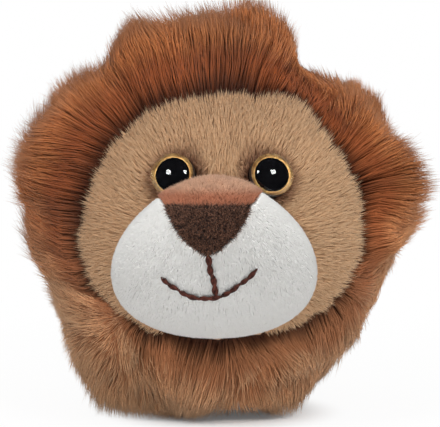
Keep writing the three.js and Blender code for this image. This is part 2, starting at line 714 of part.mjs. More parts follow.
// The muzzle
const padding = withoutEyes(muzzleForm(MUZZLE_SKIN + SEAM_GAP).subtract(coverInside));
const underSkin = muzzleForm(MUZZLE_SKIN);
const mouth = stitching(smilePoint, SMILE_STITCH_COUNT, THREAD_RADIUS);
const lip = stitching(lipPoint, LIP_STITCH_COUNT, THREAD_RADIUS);
const skinOf = (thickness) =>
  withoutEyes(muzzleForm(MUZZLE_SKIN - thickness).subtract(underSkin).subtract(coverInside));
const muzzleCover = skinOf(PAD_THICKNESS)
  .subtract(nosePrism(SEAM_GAP))
  .subtract(stitching(smilePoint, SMILE_STITCH_COUNT, THREAD_RADIUS + SEAM_GAP))
  .subtract(stitching(lipPoint, LIP_STITCH_COUNT, THREAD_RADIUS + SEAM_GAP));
const noseTop = NOSE_TOP_RISE - MUZZLE_DROP;
const bridge = skinOf(BRIDGE_THICKNESS)
  .intersect(nosePrism(0))
  .intersect(sideOf("z", 1, noseTop + SEAM_GAP / 2));
const nose = skinOf(NOSE_THICKNESS)
  .intersect(nosePrism(0))
  .intersect(sideOf("z", -1, noseTop - SEAM_GAP / 2))
  .intersect(sideOf("y", -1, -MUZZLE_FORWARD));

// The filling, with a pocket for the pellet bag and a socket for each eye
const bagPocket = turned(pelletBagProfile(SEAM_GAP), PELLET_BAG_SIDE_COUNT, pelletBagPlacing());
const bagOpening = turned(
  [
    [0, -FAR],
    [PELLET_BAG_RADIUS + SEAM_GAP, -FAR],
    [PELLET_BAG_RADIUS + SEAM_GAP, 0],
    [0, 0],
  ],
  PELLET_BAG_SIDE_COUNT,
  pelletBagPlacing(),
);
const filling = eyePlaces
  .reduce((rest, place) => rest.subtract(eyeSocket(place)), ball(0))
  .subtract(bagPocket)
  .subtract(bagOpening);

const lion = new THREE.Group();
lion.position.z = BALL_CENTRE_HEIGHT;
for (const [name, [fromDeg, toDeg]] of Object.entries(RING_PANELS))
  lion.add(meshOf(name, ring.intersect(sector(fromDeg, toDeg)), MATERIALS.mane));
lion.add(
  meshOf("left_back_fur", back.intersect(sideOf("x", 1, SEAM_GAP / 2)), MATERIALS.mane),
  meshOf("right_back_fur", back.intersect(sideOf("x", -1, -SEAM_GAP / 2)), MATERIALS.mane),
  meshOf("seat_fur", seatFur, MATERIALS.mane),
  meshOf("face_panel", facePanel, MATERIALS.face),
  meshOf("muzzle_padding", padding, MATERIALS.filling),
  meshOf("muzzle_cover", muzzleCover, MATERIALS.pad),
  meshOf("nose_bridge", bridge, MATERIALS.bridge),
  meshOf("nose_patch", nose, MATERIALS.nose),
  meshOf("smile_stitching", mouth, MATERIALS.thread),
  meshOf("lip_stitching", lip, MATERIALS.thread),
  meshOf("fibre_filling", filling, MATERIALS.filling),
  meshOf(
    "pellet_bag",
    turned(pelletBagProfile(0), PELLET_BAG_SIDE_COUNT, pelletBagPlacing()),
    MATERIALS.pelletBag,
  ),
  eye(1, "left"),
  eye(-1, "right"),
);

const toy = new THREE.Group();
toy.add(lion);
export default toy;
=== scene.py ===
# %% [markdown]
# # A ball-shaped plush lion, finished in Blender
# The lion is a stuffed ball sewn from three kinds of pile fabric: long reddish-brown pile for the mane and
# the back, short tan pile for the face, and a velvety pile for the padded muzzle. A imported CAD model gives
# the size and place of every piece, so this script loads it first and fits all its fabric to it.

# %% Load the frame
import math

import bmesh
import bpy
import numpy as np
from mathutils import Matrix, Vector, noise
from mathutils.bvhtree import BVHTree


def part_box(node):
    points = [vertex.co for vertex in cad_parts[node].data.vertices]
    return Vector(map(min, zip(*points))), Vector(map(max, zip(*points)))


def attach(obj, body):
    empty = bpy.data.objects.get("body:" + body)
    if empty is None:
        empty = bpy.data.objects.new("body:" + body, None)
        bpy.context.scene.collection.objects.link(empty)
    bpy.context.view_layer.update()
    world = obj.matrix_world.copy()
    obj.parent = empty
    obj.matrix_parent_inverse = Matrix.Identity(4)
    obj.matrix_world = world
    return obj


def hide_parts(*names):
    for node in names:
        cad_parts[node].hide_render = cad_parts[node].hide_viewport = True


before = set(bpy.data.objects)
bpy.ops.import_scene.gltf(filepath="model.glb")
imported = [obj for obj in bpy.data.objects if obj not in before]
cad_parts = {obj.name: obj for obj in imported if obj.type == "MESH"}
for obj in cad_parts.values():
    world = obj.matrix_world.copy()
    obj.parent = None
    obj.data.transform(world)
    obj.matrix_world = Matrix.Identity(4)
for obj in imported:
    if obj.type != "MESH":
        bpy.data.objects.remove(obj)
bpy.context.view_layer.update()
MM = 0.001
filling_low, filling_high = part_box("fibre_filling")
BALL_RADIUS = (filling_high.x - filling_low.x) / 2
BALL = Vector((0, 0, filling_high.z - BALL_RADIUS))
print("CAD nodes:", len(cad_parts), "ball radius in mm:", round(BALL_RADIUS / MM, 2))

# %% [markdown]
# ## The camera
# The photograph was taken from straight in front and a little above, from about half a metre away. A long
# lens at that distance gives the same flattening. The picture is framed by aiming the camera, so it needs
# no lens shift, and other views can turn it round the toy freely.

# %% Place the camera
PICTURE_WIDTH, PICTURE_HEIGHT = 440, 427
BALL_PIXEL_X, BALL_PIXEL_Y = 222, 224
PIXEL = 0.2593 * MM
CAMERA_DISTANCE = 480 * MM
CAMERA_RISE = math.radians(4)

camera_data = bpy.data.cameras.new("camera")
camera = bpy.data.objects.new("camera", camera_data)
bpy.context.collection.objects.link(camera)
bpy.context.scene.camera = camera
aim = BALL + Vector((PICTURE_WIDTH / 2 - BALL_PIXEL_X, 0, BALL_PIXEL_Y - PICTURE_HEIGHT / 2)) * PIXEL
backwards = Vector((0, -math.cos(CAMERA_RISE), math.sin(CAMERA_RISE)))
camera.location = aim + backwards * CAMERA_DISTANCE
camera.rotation_euler = (math.pi / 2 - CAMERA_RISE, 0, 0)
camera_data.lens = camera_data.sensor_width * CAMERA_DISTANCE / (PICTURE_WIDTH * PIXEL)
camera_data.clip_start = 10 * MM
bpy.context.scene.view_settings.view_transform = "Standard"
print("lens in mm:", round(camera_data.lens, 1))

# %% [markdown]
# ## Building node trees
# Both shaders and Geometry Nodes are trees of nodes. Each could be wired with three lines per node, but a
# small helper that makes a node, sets its options and plugs its inputs keeps a long tree easy to read. The
# others stand for the nodes that are used most.

# %% Helpers for node trees
def plug(tree, socket, value):
    """Gives an input socket a plain value, or links another socket to it."""
    if isinstance(value, bpy.types.NodeSocket):
        tree.links.new(value, socket)
    else:
        socket.default_value = value


def node(tree, kind, inputs=None, **options):
    """A new node. An input is another node's output socket, or a plain value."""
    made = tree.nodes.new(kind)
    for option, value in options.items():
        setattr(made, option, value)
    for socket, value in (inputs or {}).items():
        plug(tree, made.inputs[socket], value)
    return made


def math_node(tree, operation, *values):
    """The result of a Math node on one, two or three values."""
    return node(tree, "ShaderNodeMath", dict(enumerate(values)), operation=operation).outputs[0]


def ramp_node(tree, value, from_low, from_high, to_low=0.0, to_high=1.0, turn="SMOOTHSTEP"):
    """A value brought from one range to another, with a smooth turn at both ends."""
    names = ("Value", "From Min", "From Max", "To Min", "To Max")
    inputs = dict(zip(names, (value, from_low, from_high, to_low, to_high)))
    return node(tree, "ShaderNodeMapRange", inputs, interpolation_type=turn).outputs[0]


def mix_colours(tree, factor, first, second, blend="MIX"):
    inputs = {0: factor, 6: first, 7: second}
    return node(tree, "ShaderNodeMix", inputs, data_type="RGBA", blend_type=blend).outputs[2]


def add_socket(group, name, kind, direction="INPUT"):
    group.interface.new_socket(name=name, in_out=direction, socket_type="NodeSocket" + kind)


def object_place(tree):
    """The place of a point of the surface, in metres."""
    return node(tree, "ShaderNodeTexCoord").outputs["Object"]


def srgb(red, green, blue):
    """A colour as the eye reads it, each part from 0 to 255, as the linear colour that Blender works in."""
    parts = [part / 255 for part in (red, green, blue)]
    return [part / 12.92 if part < 0.04 else ((part + 0.055) / 1.055) ** 2.4 for part in parts] + [1.0]


print("mid grey:", [round(part, 3) for part in srgb(128, 128, 128)])

# %% [markdown]
# ## Light and surroundings
# Two square softboxes light the toy from either side of the camera, and they are what the eyes mirror. The
# world fills the shadows evenly. Only what the camera, a mirror or glass sees of the world is pure white,
# through Light Path, so the white background adds no light to the fur. The half of the room behind the
# camera stays dim in mirrors, as in a studio.

# %% Light the studio
SOFTBOX_SIZE = 135 * MM
SOFTBOX_DISTANCE = 620 * MM
SOFTBOX_POWER = 1.45
SOFTBOXES = {"left_softbox": (-36, 30), "right_softbox": (28, 31)}
FILL_STRENGTH = 0.8
ROOM_IN_MIRRORS = 0.06
ROOM_START, ROOM_END = 0.35, 0.95
WHITE = (1, 1, 1, 1)


def softbox(name, azimuth, elevation):
    """A square lamp aimed at the ball. Azimuth 0 is the camera's side, and it grows towards +X."""
    lamp = bpy.data.lights.new(name, "AREA")
    lamp.shape = "SQUARE"
    lamp.size = SOFTBOX_SIZE
    lamp.energy = SOFTBOX_POWER
    stand = bpy.data.objects.new(name, lamp)
    around, up = math.radians(azimuth), math.radians(elevation)
    outwards = Vector((math.sin(around) * math.cos(up), -math.cos(around) * math.cos(up), math.sin(up)))
    stand.location = BALL + outwards * SOFTBOX_DISTANCE
    stand.rotation_euler = outwards.to_track_quat("Z", "Y").to_euler()
    bpy.context.collection.objects.link(stand)


def ray_kinds(tree):
    """Two masks: what the camera sees itself or through clear plastic, and what a mirror sees."""
    path = node(tree, "ShaderNodeLightPath").outputs
    mirrored = math_node(tree, "MINIMUM", path["Glossy Depth"], 1.0)
    through = math_node(tree, "SUBTRACT", 1.0, mirrored)
    clear = math_node(tree, "MULTIPLY", path["Is Transmission Ray"], through)
    behind = math_node(tree, "MULTIPLY", path["Is Transmission Ray"], mirrored)
    seen = math_node(tree, "MAXIMUM", path["Is Camera Ray"], clear)
    glossy = math_node(tree, "MAXIMUM", path["Is Glossy Ray"], behind)
    return seen, glossy


for name, angles in SOFTBOXES.items():
    softbox(name, *angles)
world = bpy.data.worlds.new("studio")
bpy.context.scene.world = world
world.use_nodes = True
tree = world.node_tree
tree.nodes.clear()
direction = node(tree, "ShaderNodeSeparateXYZ", {0: node(tree, "ShaderNodeTexCoord").outputs["Generated"]})
room = ramp_node(tree, direction.outputs["Y"], ROOM_START, ROOM_END, ROOM_IN_MIRRORS, turn="LINEAR")
fill = node(tree, "ShaderNodeBackground", {"Color": WHITE, "Strength": FILL_STRENGTH})
white = node(tree, "ShaderNodeBackground", {"Color": WHITE, "Strength": 1.0})
mirrored = node(tree, "ShaderNodeBackground", {"Color": WHITE, "Strength": room})
seen, glossy = ray_kinds(tree)
lit = node(tree, "ShaderNodeMixShader", {0: glossy, 1: fill.outputs[0], 2: mirrored.outputs[0]})
shown = node(tree, "ShaderNodeMixShader", {0: seen, 1: lit.outputs[0], 2: white.outputs[0]})
node(tree, "ShaderNodeOutputWorld", {"Surface": shown.outputs[0]})

# %% [markdown]
# ## The table
# The toy stands on white paper that runs back without an edge. A white floor under plain light would come
# out grey, so most of what the camera sees of it is its own light, and the rest keeps a soft shadow. In a
# mirror it is dark a little way in front of the toy, because the photographer's side of a studio is.

# %% Lay the floor
FLOOR_SIZE = 6.0
SHADOW_SHARE, CONTACT_SHARE = 0.07, 0.9
CONTACT_REACH, CONTACT_END = 14 * MM, 33 * MM
SHADOW_REACH, SHADOW_END = 60 * MM, 260 * MM
TABLE_FRONT, TABLE_FADE = 120 * MM, 60 * MM
PAPER, UNLIT_PAPER = (0.9, 0.9, 0.9, 1), (0.03, 0.03, 0.03, 1)
floor_mesh = bpy.data.meshes.new("floor")
half = FLOOR_SIZE / 2
corners = [(-half, -half, 0), (half, -half, 0), (half, half, 0), (-half, half, 0)]
floor_mesh.from_pydata(corners, [], [(0, 1, 2, 3)])
floor = bpy.data.objects.new("floor", floor_mesh)
bpy.context.collection.objects.link(floor)
floor_paint = bpy.data.materials.new("floor_paper")
floor_paint.use_nodes = True
tree = floor_paint.node_tree
tree.nodes.clear()
seen, glossy = ray_kinds(tree)
place = object_place(tree)
distance = node(tree, "ShaderNodeVectorMath", {0: place}, operation="LENGTH").outputs["Value"]
whiteness = seen
shadows = ((CONTACT_REACH, CONTACT_END, CONTACT_SHARE), (SHADOW_REACH, SHADOW_END, SHADOW_SHARE))
for reach, end, share in shadows:
    own_light = ramp_node(tree, distance, reach, end, 1 - share)
    whiteness = math_node(tree, "MULTIPLY", whiteness, own_light)
depth = node(tree, "ShaderNodeSeparateXYZ", {0: place}).outputs["Y"]
beyond_table = ramp_node(tree, depth, -TABLE_FRONT, -TABLE_FADE, 1.0, 0.0)
unlit = math_node(tree, "MULTIPLY", beyond_table, glossy)
bright = node(tree, "ShaderNodeBsdfDiffuse", {"Color": PAPER})
dark = node(tree, "ShaderNodeBsdfDiffuse", {"Color": UNLIT_PAPER})
paper = node(tree, "ShaderNodeMixShader", {0: unlit, 1: bright.outputs[0], 2: dark.outputs[0]})
glow = node(tree, "ShaderNodeEmission", {"Color": WHITE, "Strength": 1.0})
mixed = node(tree, "ShaderNodeMixShader", {0: whiteness, 1: paper.outputs[0], 2: glow.outputs[0]})
node(tree, "ShaderNodeOutputMaterial", {"Surface": mixed.outputs[0]})
floor_mesh.materials.append(floor_paint)
print("floor size in m:", FLOOR_SIZE)

# %% [markdown]
# ## The colour of a pile
# A fibre is darkest at its root, where little light gets in, and palest at its tip, where it was brushed
# and sheared. Neighbouring fibres differ a little. Each strand will carry two numbers, how far along it a
# point is and a tone, its own mixed with a painted shade that drifts from clump to clump, and one node group
# turns them into a colour for every pile fabric here.

# %% The pile colour group
def pile_colour_group():
    """A colour along the fibre, a tone of its own for each, and a tint that multiplies it by a share."""
    group = bpy.data.node_groups.new("Pile Colour", "ShaderNodeTree")
    for name in ("Along", "Tone", "Root Share", "Tone Spread", "Tint Share"):
        add_socket(group, name, "Float")
    for name in ("Root", "Middle", "Tip", "Tint"):
        add_socket(group, name, "Color")
    add_socket(group, "Colour", "Color", "OUTPUT")
    given = node(group, "NodeGroupInput").outputs
    rooted = ramp_node(group, given["Along"], 0.0, given["Root Share"])
    tipped = ramp_node(group, given["Along"], given["Root Share"], 1.0)
    lower = mix_colours(group, rooted, given["Root"], given["Middle"])
    whole = mix_colours(group, tipped, lower, given["Tip"])
    unlike = math_node(group, "SUBTRACT", given["Tone"], 0.5)
    value = math_node(group, "MULTIPLY_ADD", unlike, given["Tone Spread"], 1.0)
    toned = node(group, "ShaderNodeHueSaturation", {"Value": value, "Color": whole}).outputs[0]
    tinted = mix_colours(group, given["Tint Share"], toned, given["Tint"], "MULTIPLY")
    node(group, "NodeGroupOutput", {"Colour": tinted})
    return group


def height_group():
    """A mask that goes from 0 at the first height to 1 at the second."""
    group = bpy.data.node_groups.new("Between Heights", "ShaderNodeTree")
    for name in ("First", "Second"):
        add_socket(group, name, "Float")
    add_socket(group, "Mask", "Float", "OUTPUT")
    given = node(group, "NodeGroupInput").outputs
    height = node(group, "ShaderNodeSeparateXYZ", {0: object_place(group)}).outputs["Z"]
    node(group, "NodeGroupOutput", {"Mask": ramp_node(group, height, given["First"], given["Second"])})
    return group


PILE_COLOUR, BETWEEN_HEIGHTS = pile_colour_group(), height_group()
print("pile colour sockets:", len(PILE_COLOUR.interface.items_tree))

# %% [markdown]
# ## Pile materials
# Pile could be one flat colour with a bump, but the strands here are real, so the material only has to say
# what a fibre is like: rough, with a faint sheen. A pile may also be tinted: by height, as on the mane,
# whose pale base colours are painted light against the shade under the muzzle, and on the bridge of the
# nose, or by a number that its strands carry, as the painted shade round the eyes.

# %% Make the pile materials
PILE_FINISH = {
    "Roughness": 0.72,
    "Specular IOR Level": 0.2,
    "Sheen Weight": 0.05,
    "Sheen Roughness": 0.5,
}
NO_TINT = (255, 255, 255)


def attribute(tree, name):
    return node(tree, "ShaderNodeAttribute", attribute_name=name).outputs["Fac"]


def by_height(low, high):
    """A mask for a material, from 0 at the first height to 1 at the second."""
    inputs = {"First": low, "Second": high}
    return lambda tree: node(tree, "ShaderNodeGroup", inputs, node_tree=BETWEEN_HEIGHTS).outputs[0]


def by_attribute(name):
    """A mask for a material that each strand carries itself."""
    return lambda tree: attribute(tree, name)


def pile_material(name, tones, root_share, tone_spread, tint=NO_TINT, mask=None):
    """A pile fabric. The tint multiplies its colour where the mask is 1."""
    material = bpy.data.materials.new(name)
    material.use_nodes = True
    tree = material.node_tree
    fibre = tree.nodes["Principled BSDF"]
    inputs = {
        "Along": attribute(tree, "along"),
        "Tone": attribute(tree, "tone"),
        "Root Share": root_share,
        "Tone Spread": tone_spread,
        "Tint": srgb(*tint),
        "Tint Share": mask(tree) if mask else 0.0,
    }
    inputs.update({part: srgb(*tone) for part, tone in zip(("Root", "Middle", "Tip"), tones)})
    colour = node(tree, "ShaderNodeGroup", inputs, node_tree=PILE_COLOUR)
    tree.links.new(colour.outputs[0], fibre.inputs["Base Color"])
    for socket, value in PILE_FINISH.items():
        fibre.inputs[socket].default_value = value
    return material


bridge_low, bridge_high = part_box("nose_bridge")
BRIDGE_EDGE = 2 * MM
# Painted light: the mane's base colours are made pale to lift the shade under the muzzle, and the tint
# darkens and reddens them higher up.
MANE_TONES = ((88, 51, 33), (162, 106, 69), (238, 190, 144))
# Painted light: the face's roots are paler than the middle of its fibres, to lift the shade between them.
FACE_TONES = ((232, 190, 150), (208, 166, 126), (220, 182, 142))
MUZZLE_TONES = ((240, 239, 234), (249, 248, 245), (253, 252, 249))
NOSE_TONES = ((20, 11, 7), (50, 29, 21), (170, 122, 98))
BRIDGE_TONES = ((158, 117, 92), (180, 136, 108), (212, 168, 139))
HIGH_ON_MANE = by_height(22 * MM, 62 * MM)
LOW_ON_BRIDGE = by_height(bridge_high.z - BRIDGE_EDGE, bridge_low.z + BRIDGE_EDGE)
MANE_PILE = pile_material("mane_pile", MANE_TONES, 0.45, 0.7, (225, 184, 144), HIGH_ON_MANE)
# The face's tint is a painted shade, where its strands carry the shade number round the eyes.
FACE_PILE = pile_material("face_pile", FACE_TONES, 0.4, 0.14, (120, 68, 46), by_attribute("shade"))
MUZZLE_PILE = pile_material("muzzle_pile", MUZZLE_TONES, 0.4, 0.03)
NOSE_PILE = pile_material("nose_pile", NOSE_TONES, 0.55, 0.9)
BRIDGE_PILE = pile_material("bridge_pile", BRIDGE_TONES, 0.4, 0.5, (224, 186, 172), LOW_ON_BRIDGE)
print("pile materials:", sum(material.name.endswith("_pile") for material in bpy.data.materials))

# %% [markdown]
# ## Reading the CAD model
# The CAD solids say where the fur ends and where one panel of fabric meets the next. A search tree over
# their triangles answers both questions: a ray from outside finds how far the fur reaches in a direction,
# and the nearest triangle tells which panel a point belongs to. This keeps the fur on the shape that was
# checked.

# %% Measure the fur's reach
FUR_NODES = (
    "crown_fur",
    "right_mane_fur",
    "left_mane_fur",
    "right_chest_fur",
    "left_chest_fur",
    "right_back_fur",
    "left_back_fur",
    "seat_fur",
)
MUZZLE_NODES = ("muzzle_cover", "nose_bridge", "nose_patch")
FAR = 200 * MM
SEAM_LOOK = 0.018  # how far beside a direction to look as well, past a seam, in radians


def cad_tree(names):
    """A search tree over the triangles of some CAD nodes, and the name of the node of each triangle."""
    points, triangles, owners = [], [], []
    for name in names:
        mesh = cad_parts[name].data
        start = len(points)
        points += [vertex.co.copy() for vertex in mesh.vertices]
        triangles += [[start + corner for corner in face.vertices] for face in mesh.polygons]
        owners += [name] * len(mesh.polygons)
    return BVHTree.FromPolygons(points, triangles), owners


def outermost(tree, centre, direction, look=SEAM_LOOK):
    """How far a shape reaches from a centre along a direction, or 0 where it isn't there."""
    side = direction.orthogonal().normalized()
    other = direction.cross(side)
    best = 0.0
    for across, up in ((0, 0), (1, 0), (-1, 0), (0, 1), (0, -1)):
        aimed = (direction + side * across * look + other * up * look).normalized()
        hit = tree.ray_cast(centre + aimed * FAR, -aimed)[0]
        if hit and (hit - centre).dot(aimed) > 0:
            best = max(best, (hit - centre).length)
    return best


fur_tree = cad_tree(FUR_NODES)[0]
skin_tree, skin_owners = cad_tree(FUR_NODES + ("face_panel",))
muzzle_tree, muzzle_owners = cad_tree(MUZZLE_NODES)
up_reach = outermost(fur_tree, BALL, Vector((0, 0, 1)))
print("the fur reaches above the ball's centre, in mm:", round(up_reach / MM, 1))

# %% [markdown]
# ## Cloth that swells
# A stuffed toy is a bag under gentle pressure: it bulges between its seams and dimples at its eyes, where
# the fabric is held. Blender's Cloth with pressure does the same. The shell is made larger while it is
# simulated, because cloth this small hardly moves, and no point may swell further than a given height.

# %% Inflate a shell
SIMULATION_SCALE = 20
SIMULATION_FRAMES = 20
CLOTH_MASS = 0.02
CLOTH_PRESSURE = 14.0
LEAST_LENGTH = 1e-9


def new_piece(name, points, faces):
    mesh = bpy.data.meshes.new(name)
    mesh.from_pydata([tuple(point) for point in points], [], faces)
    piece = bpy.data.objects.new(name, mesh)
    bpy.context.collection.objects.link(piece)
    return piece


def plain_mesh(piece):
    """The piece's mesh with its modifiers applied."""
    return bpy.data.meshes.new_from_object(piece.evaluated_get(bpy.context.evaluated_depsgraph_get()))


def inflate(points, faces, held, most):
    """The shell's points after it swells by at most a height. The held points stay where they are."""
    shell = new_piece("swelling", [point * SIMULATION_SCALE for point in points], faces)
    pins = shell.vertex_groups.new(name="pins")
    pins.add([index for index, still in enumerate(held) if still], 1.0, "REPLACE")
    cloth = shell.modifiers.new("Cloth", "CLOTH")
    cloth.settings.mass = CLOTH_MASS
    cloth.settings.use_pressure = True
    cloth.settings.uniform_pressure_force = CLOTH_PRESSURE
    cloth.settings.vertex_group_mass = "pins"
    cloth.settings.effector_weights.gravity = 0
    cloth.point_cache.frame_end = SIMULATION_FRAMES
    for step in range(1, SIMULATION_FRAMES + 1):
        bpy.context.scene.frame_set(step)
    swollen = plain_mesh(shell)
    shifts = [vertex.co / SIMULATION_SCALE - start for start, vertex in zip(points, swollen.vertices)]
    print("the shell swelled by up to, in mm:", round(max(shift.length for shift in shifts) / MM, 2))
    bpy.data.objects.remove(shell)
    bpy.data.meshes.remove(swollen)
    bpy.context.scene.frame_set(1)
    capped = [shift * min(1.0, most / max(shift.length, LEAST_LENGTH)) for shift in shifts]
    return [start + shift for start, shift in zip(points, capped)]


print("simulation is", "on")

# %% [markdown]
# ## The ball's cover
# The knitted backing of all the pile is one closed skin round the ball: nine panels sewn edge to edge. It
# could be nine shells, but they'd have to meet exactly, so it is one fine sphere of triangles, flattened at
# the seat and inflated, and only then cut into its panels by asking the CAD model which panel is nearest.
# The seams wander a little, and the locks swirl, with Blender's vector noise. It starts from the clock
# unless it is given a seed, so it gets one first, and every run makes the same toy.

# %% Make the cover
COVER_RISE = 0.8 * MM
COVER_SWELL = 1.3 * MM
SEAT_RISE = 0.6 * MM
EYE_HOLD = 3.2 * MM
PANEL_PROBE = 6.2 * MM
SEAM_WANDER = 0.03
SEAM_WANDER_SCALE = 9.0  # on a ball of radius 1
SKIN_SUBDIVISIONS = 6
NOISE_SEED = 1795876675
EYE_NODES = ("left_eye_lens", "right_eye_lens")


def fine_sphere(subdivisions):
    """The directions and triangles of a sphere of even triangles."""
    grid = bmesh.new()
    bmesh.ops.create_icosphere(grid, subdivisions=subdivisions, radius=1)
    directions = [vertex.co.normalized() for vertex in grid.verts]
    faces = [[vertex.index for vertex in face.verts] for face in grid.faces]
    grid.free()
    return directions, faces


def eye_axis(lens):
    """The direction of an eye from the ball's centre."""
    corners = [vertex.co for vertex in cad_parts[lens].data.vertices]
    return (sum(corners, Vector()) / len(corners) - BALL).normalized()


def owner_near(tree, owners, point):
    return owners[tree.find_nearest(point)[2]]


def smoothed(values, faces, rounds):
    """Rows of numbers, one for each point, brought to the average of their neighbours, some rounds."""
    moved, corners = np.array(values, dtype=float), np.array(faces)
    edges = np.concatenate([corners[:, [0, 1]], corners[:, [1, 2]], corners[:, [2, 0]]])
    edges = np.unique(np.sort(edges, axis=1), axis=0)
    here, there = np.concatenate([edges, edges[:, ::-1]]).T
    near = np.bincount(here, minlength=len(moved))[:, None] + 1
    for _ in range(rounds):
        sums = [np.bincount(here, column[there], len(moved)) for column in moved.T]
        moved = (moved + np.stack(sums, axis=1)) / near
    return moved


def smoothed_vectors(values, faces, rounds):
    return [Vector(row) for row in smoothed(values, faces, rounds)]


def owners_at(count, faces, owners):
    """The panels that meet at each point."""
    found = [set() for _ in range(count)]
    for face, owner in zip(faces, owners):
        for corner in face:
            found[corner].add(owner)
    return found


EYE_AXES = [eye_axis(lens) for lens in EYE_NODES]
SEAT_HEIGHT = filling_low.z - SEAT_RISE
noise.seed_set(NOISE_SEED)
directions, cover_faces = fine_sphere(SKIN_SUBDIVISIONS)
cover_points = []
for outwards in directions:
    point = BALL + outwards * (BALL_RADIUS + COVER_RISE)
    point.z = max(point.z, SEAT_HEIGHT)
    cover_points.append(point)
panel_of_face = []
for face in cover_faces:
    middle = sum((directions[corner] for corner in face), Vector()).normalized()
    middle += noise.noise_vector(middle * SEAM_WANDER_SCALE) * SEAM_WANDER
    probe = BALL + middle * (BALL_RADIUS + PANEL_PROBE)
    probe.z = max(probe.z, SEAT_HEIGHT - PANEL_PROBE)
    panel_of_face.append(owner_near(skin_tree, skin_owners, probe))
panels_at = owners_at(len(cover_points), cover_faces, panel_of_face)


def held_still(point, panels):
    """Whether a point of the cover is in a seam, under an eye or on the seat."""
    at_eye = any((BALL + axis * BALL_RADIUS - point).length < EYE_HOLD for axis in EYE_AXES)
    return at_eye or len(panels) > 1 or point.z < SEAT_HEIGHT + COVER_RISE


held = [held_still(point, panels) for point, panels in zip(cover_points, panels_at)]
cover_points = inflate(cover_points, cover_faces, held, COVER_SWELL)
print("cover faces:", len(cover_faces), "panels:", len(set(panel_of_face)))

# %% [markdown]
# ## The pile tree
# A panel's pile is thousands of fibres. Particle hair can't be exported as a mesh, so Geometry Nodes
# scatter roots over the backing, gather neighbouring tips into locks, and put a slim cone on every root.
# The cones all start at the origin, standing on end: a last step bends each along its own curve, read from
# the root, bend and tip that its root has stored. Every panel uses the same tree with its own numbers.

# %% Helpers for Geometry Nodes
def vector_node(tree, operation, *values):
    """The result of a Vector Math node: its vector, or its number for a distance or a length."""
    made = node(tree, "ShaderNodeVectorMath", operation=operation)
    for place, value in enumerate(values):
        plug(tree, made.inputs["Scale" if operation == "SCALE" and place == 1 else place], value)
    return made.outputs["Value" if operation in ("DISTANCE", "LENGTH") else "Vector"]


def scaled(tree, vector, share):
    return vector_node(tree, "SCALE", vector, share)


def added(tree, first, second):
    return vector_node(tree, "ADD", first, second)


def stored(tree, name, kind="FLOAT"):
    reading = node(tree, "GeometryNodeInputNamedAttribute", {"Name": name}, data_type=kind)
    return reading.outputs["Attribute"]


def stored_vectors(tree, *names):
    return (stored(tree, name, "FLOAT_VECTOR") for name in names)


def store(tree, geometry, name, value, kind="FLOAT"):
    inputs = {"Geometry": geometry, "Name": name, "Value": value}
    return node(tree, "GeometryNodeStoreNamedAttribute", inputs, data_type=kind, domain="POINT").outputs[0]


def random_number(tree, low, high, seed):
    inputs = {2: low, 3: high, "Seed": seed}
    return node(tree, "FunctionNodeRandomValue", inputs, data_type="FLOAT").outputs[1]


def blended_number(tree, first, second, share):
    inputs = {0: share, 2: first, 3: second}
    return node(tree, "ShaderNodeMix", inputs, data_type="FLOAT").outputs[0]


def scatter(tree, skin, density, seed):
    inputs = {"Mesh": skin, "Density": density, "Seed": seed}
    return node(tree, "GeometryNodeDistributePointsOnFaces", inputs, distribute_method="RANDOM").outputs[0]


def from_lock(tree, locks, nearest, value, kind):
    inputs = {"Geometry": locks, "Value": value, "Index": nearest}
    return node(tree, "GeometryNodeSampleIndex", inputs, data_type=kind, domain="POINT").outputs[0]


print("Blender", bpy.app.version_string)

# %% [markdown]
# ## Planting the roots
# The fabric's fibres are tufted evenly through its backing, and the longer they are, the more they cling
# together in locks. So roots and locks are both scattered at random over the skin, and each root's tip is
# pulled towards the tip of the nearest lock. Seeds are fixed, so every run plants the same fibres.

# %% Plant the roots
LEAST_PULL = 0.4  # the share of the lock's pull that even the loosest fibre feels
BEND_FOLLOWS = 0.35  # how far the bend goes along with a tip that is pulled or cut
# A noise darkens and lightens whole clumps: a painted shade between the locks, mixed into each fibre's own
# tone.
CLUMP_LOW, CLUMP_HIGH = 0.35, 0.65  # the noise values that give the darkest and the palest clump
OWN_TONE = 0.5
SEEDS = {"lock length": 11, "lock tone": 12, "pull": 13, "length": 14, "stray": 15, "tone": 16}


def without_eyes(tree, given, roots, place):
    """The roots that aren't under an eye."""
    for eye in ("First Eye", "Second Eye"):
        distance = vector_node(tree, "DISTANCE", place, given[eye])
        near = math_node(tree, "LESS_THAN", distance, given["Eye Room"])
        roots = node(tree, "GeometryNodeDeleteGeometry", {"Geometry": roots, "Selection": near}).outputs[0]
    return roots


def shortened(tree, vector, spread, seed):
    """A vector cut to a random share of its length. The spread is the most that is cut off."""
    shortest = math_node(tree, "SUBTRACT", 1.0, spread)
    return scaled(tree, vector, random_number(tree, shortest, 1.0, seed))


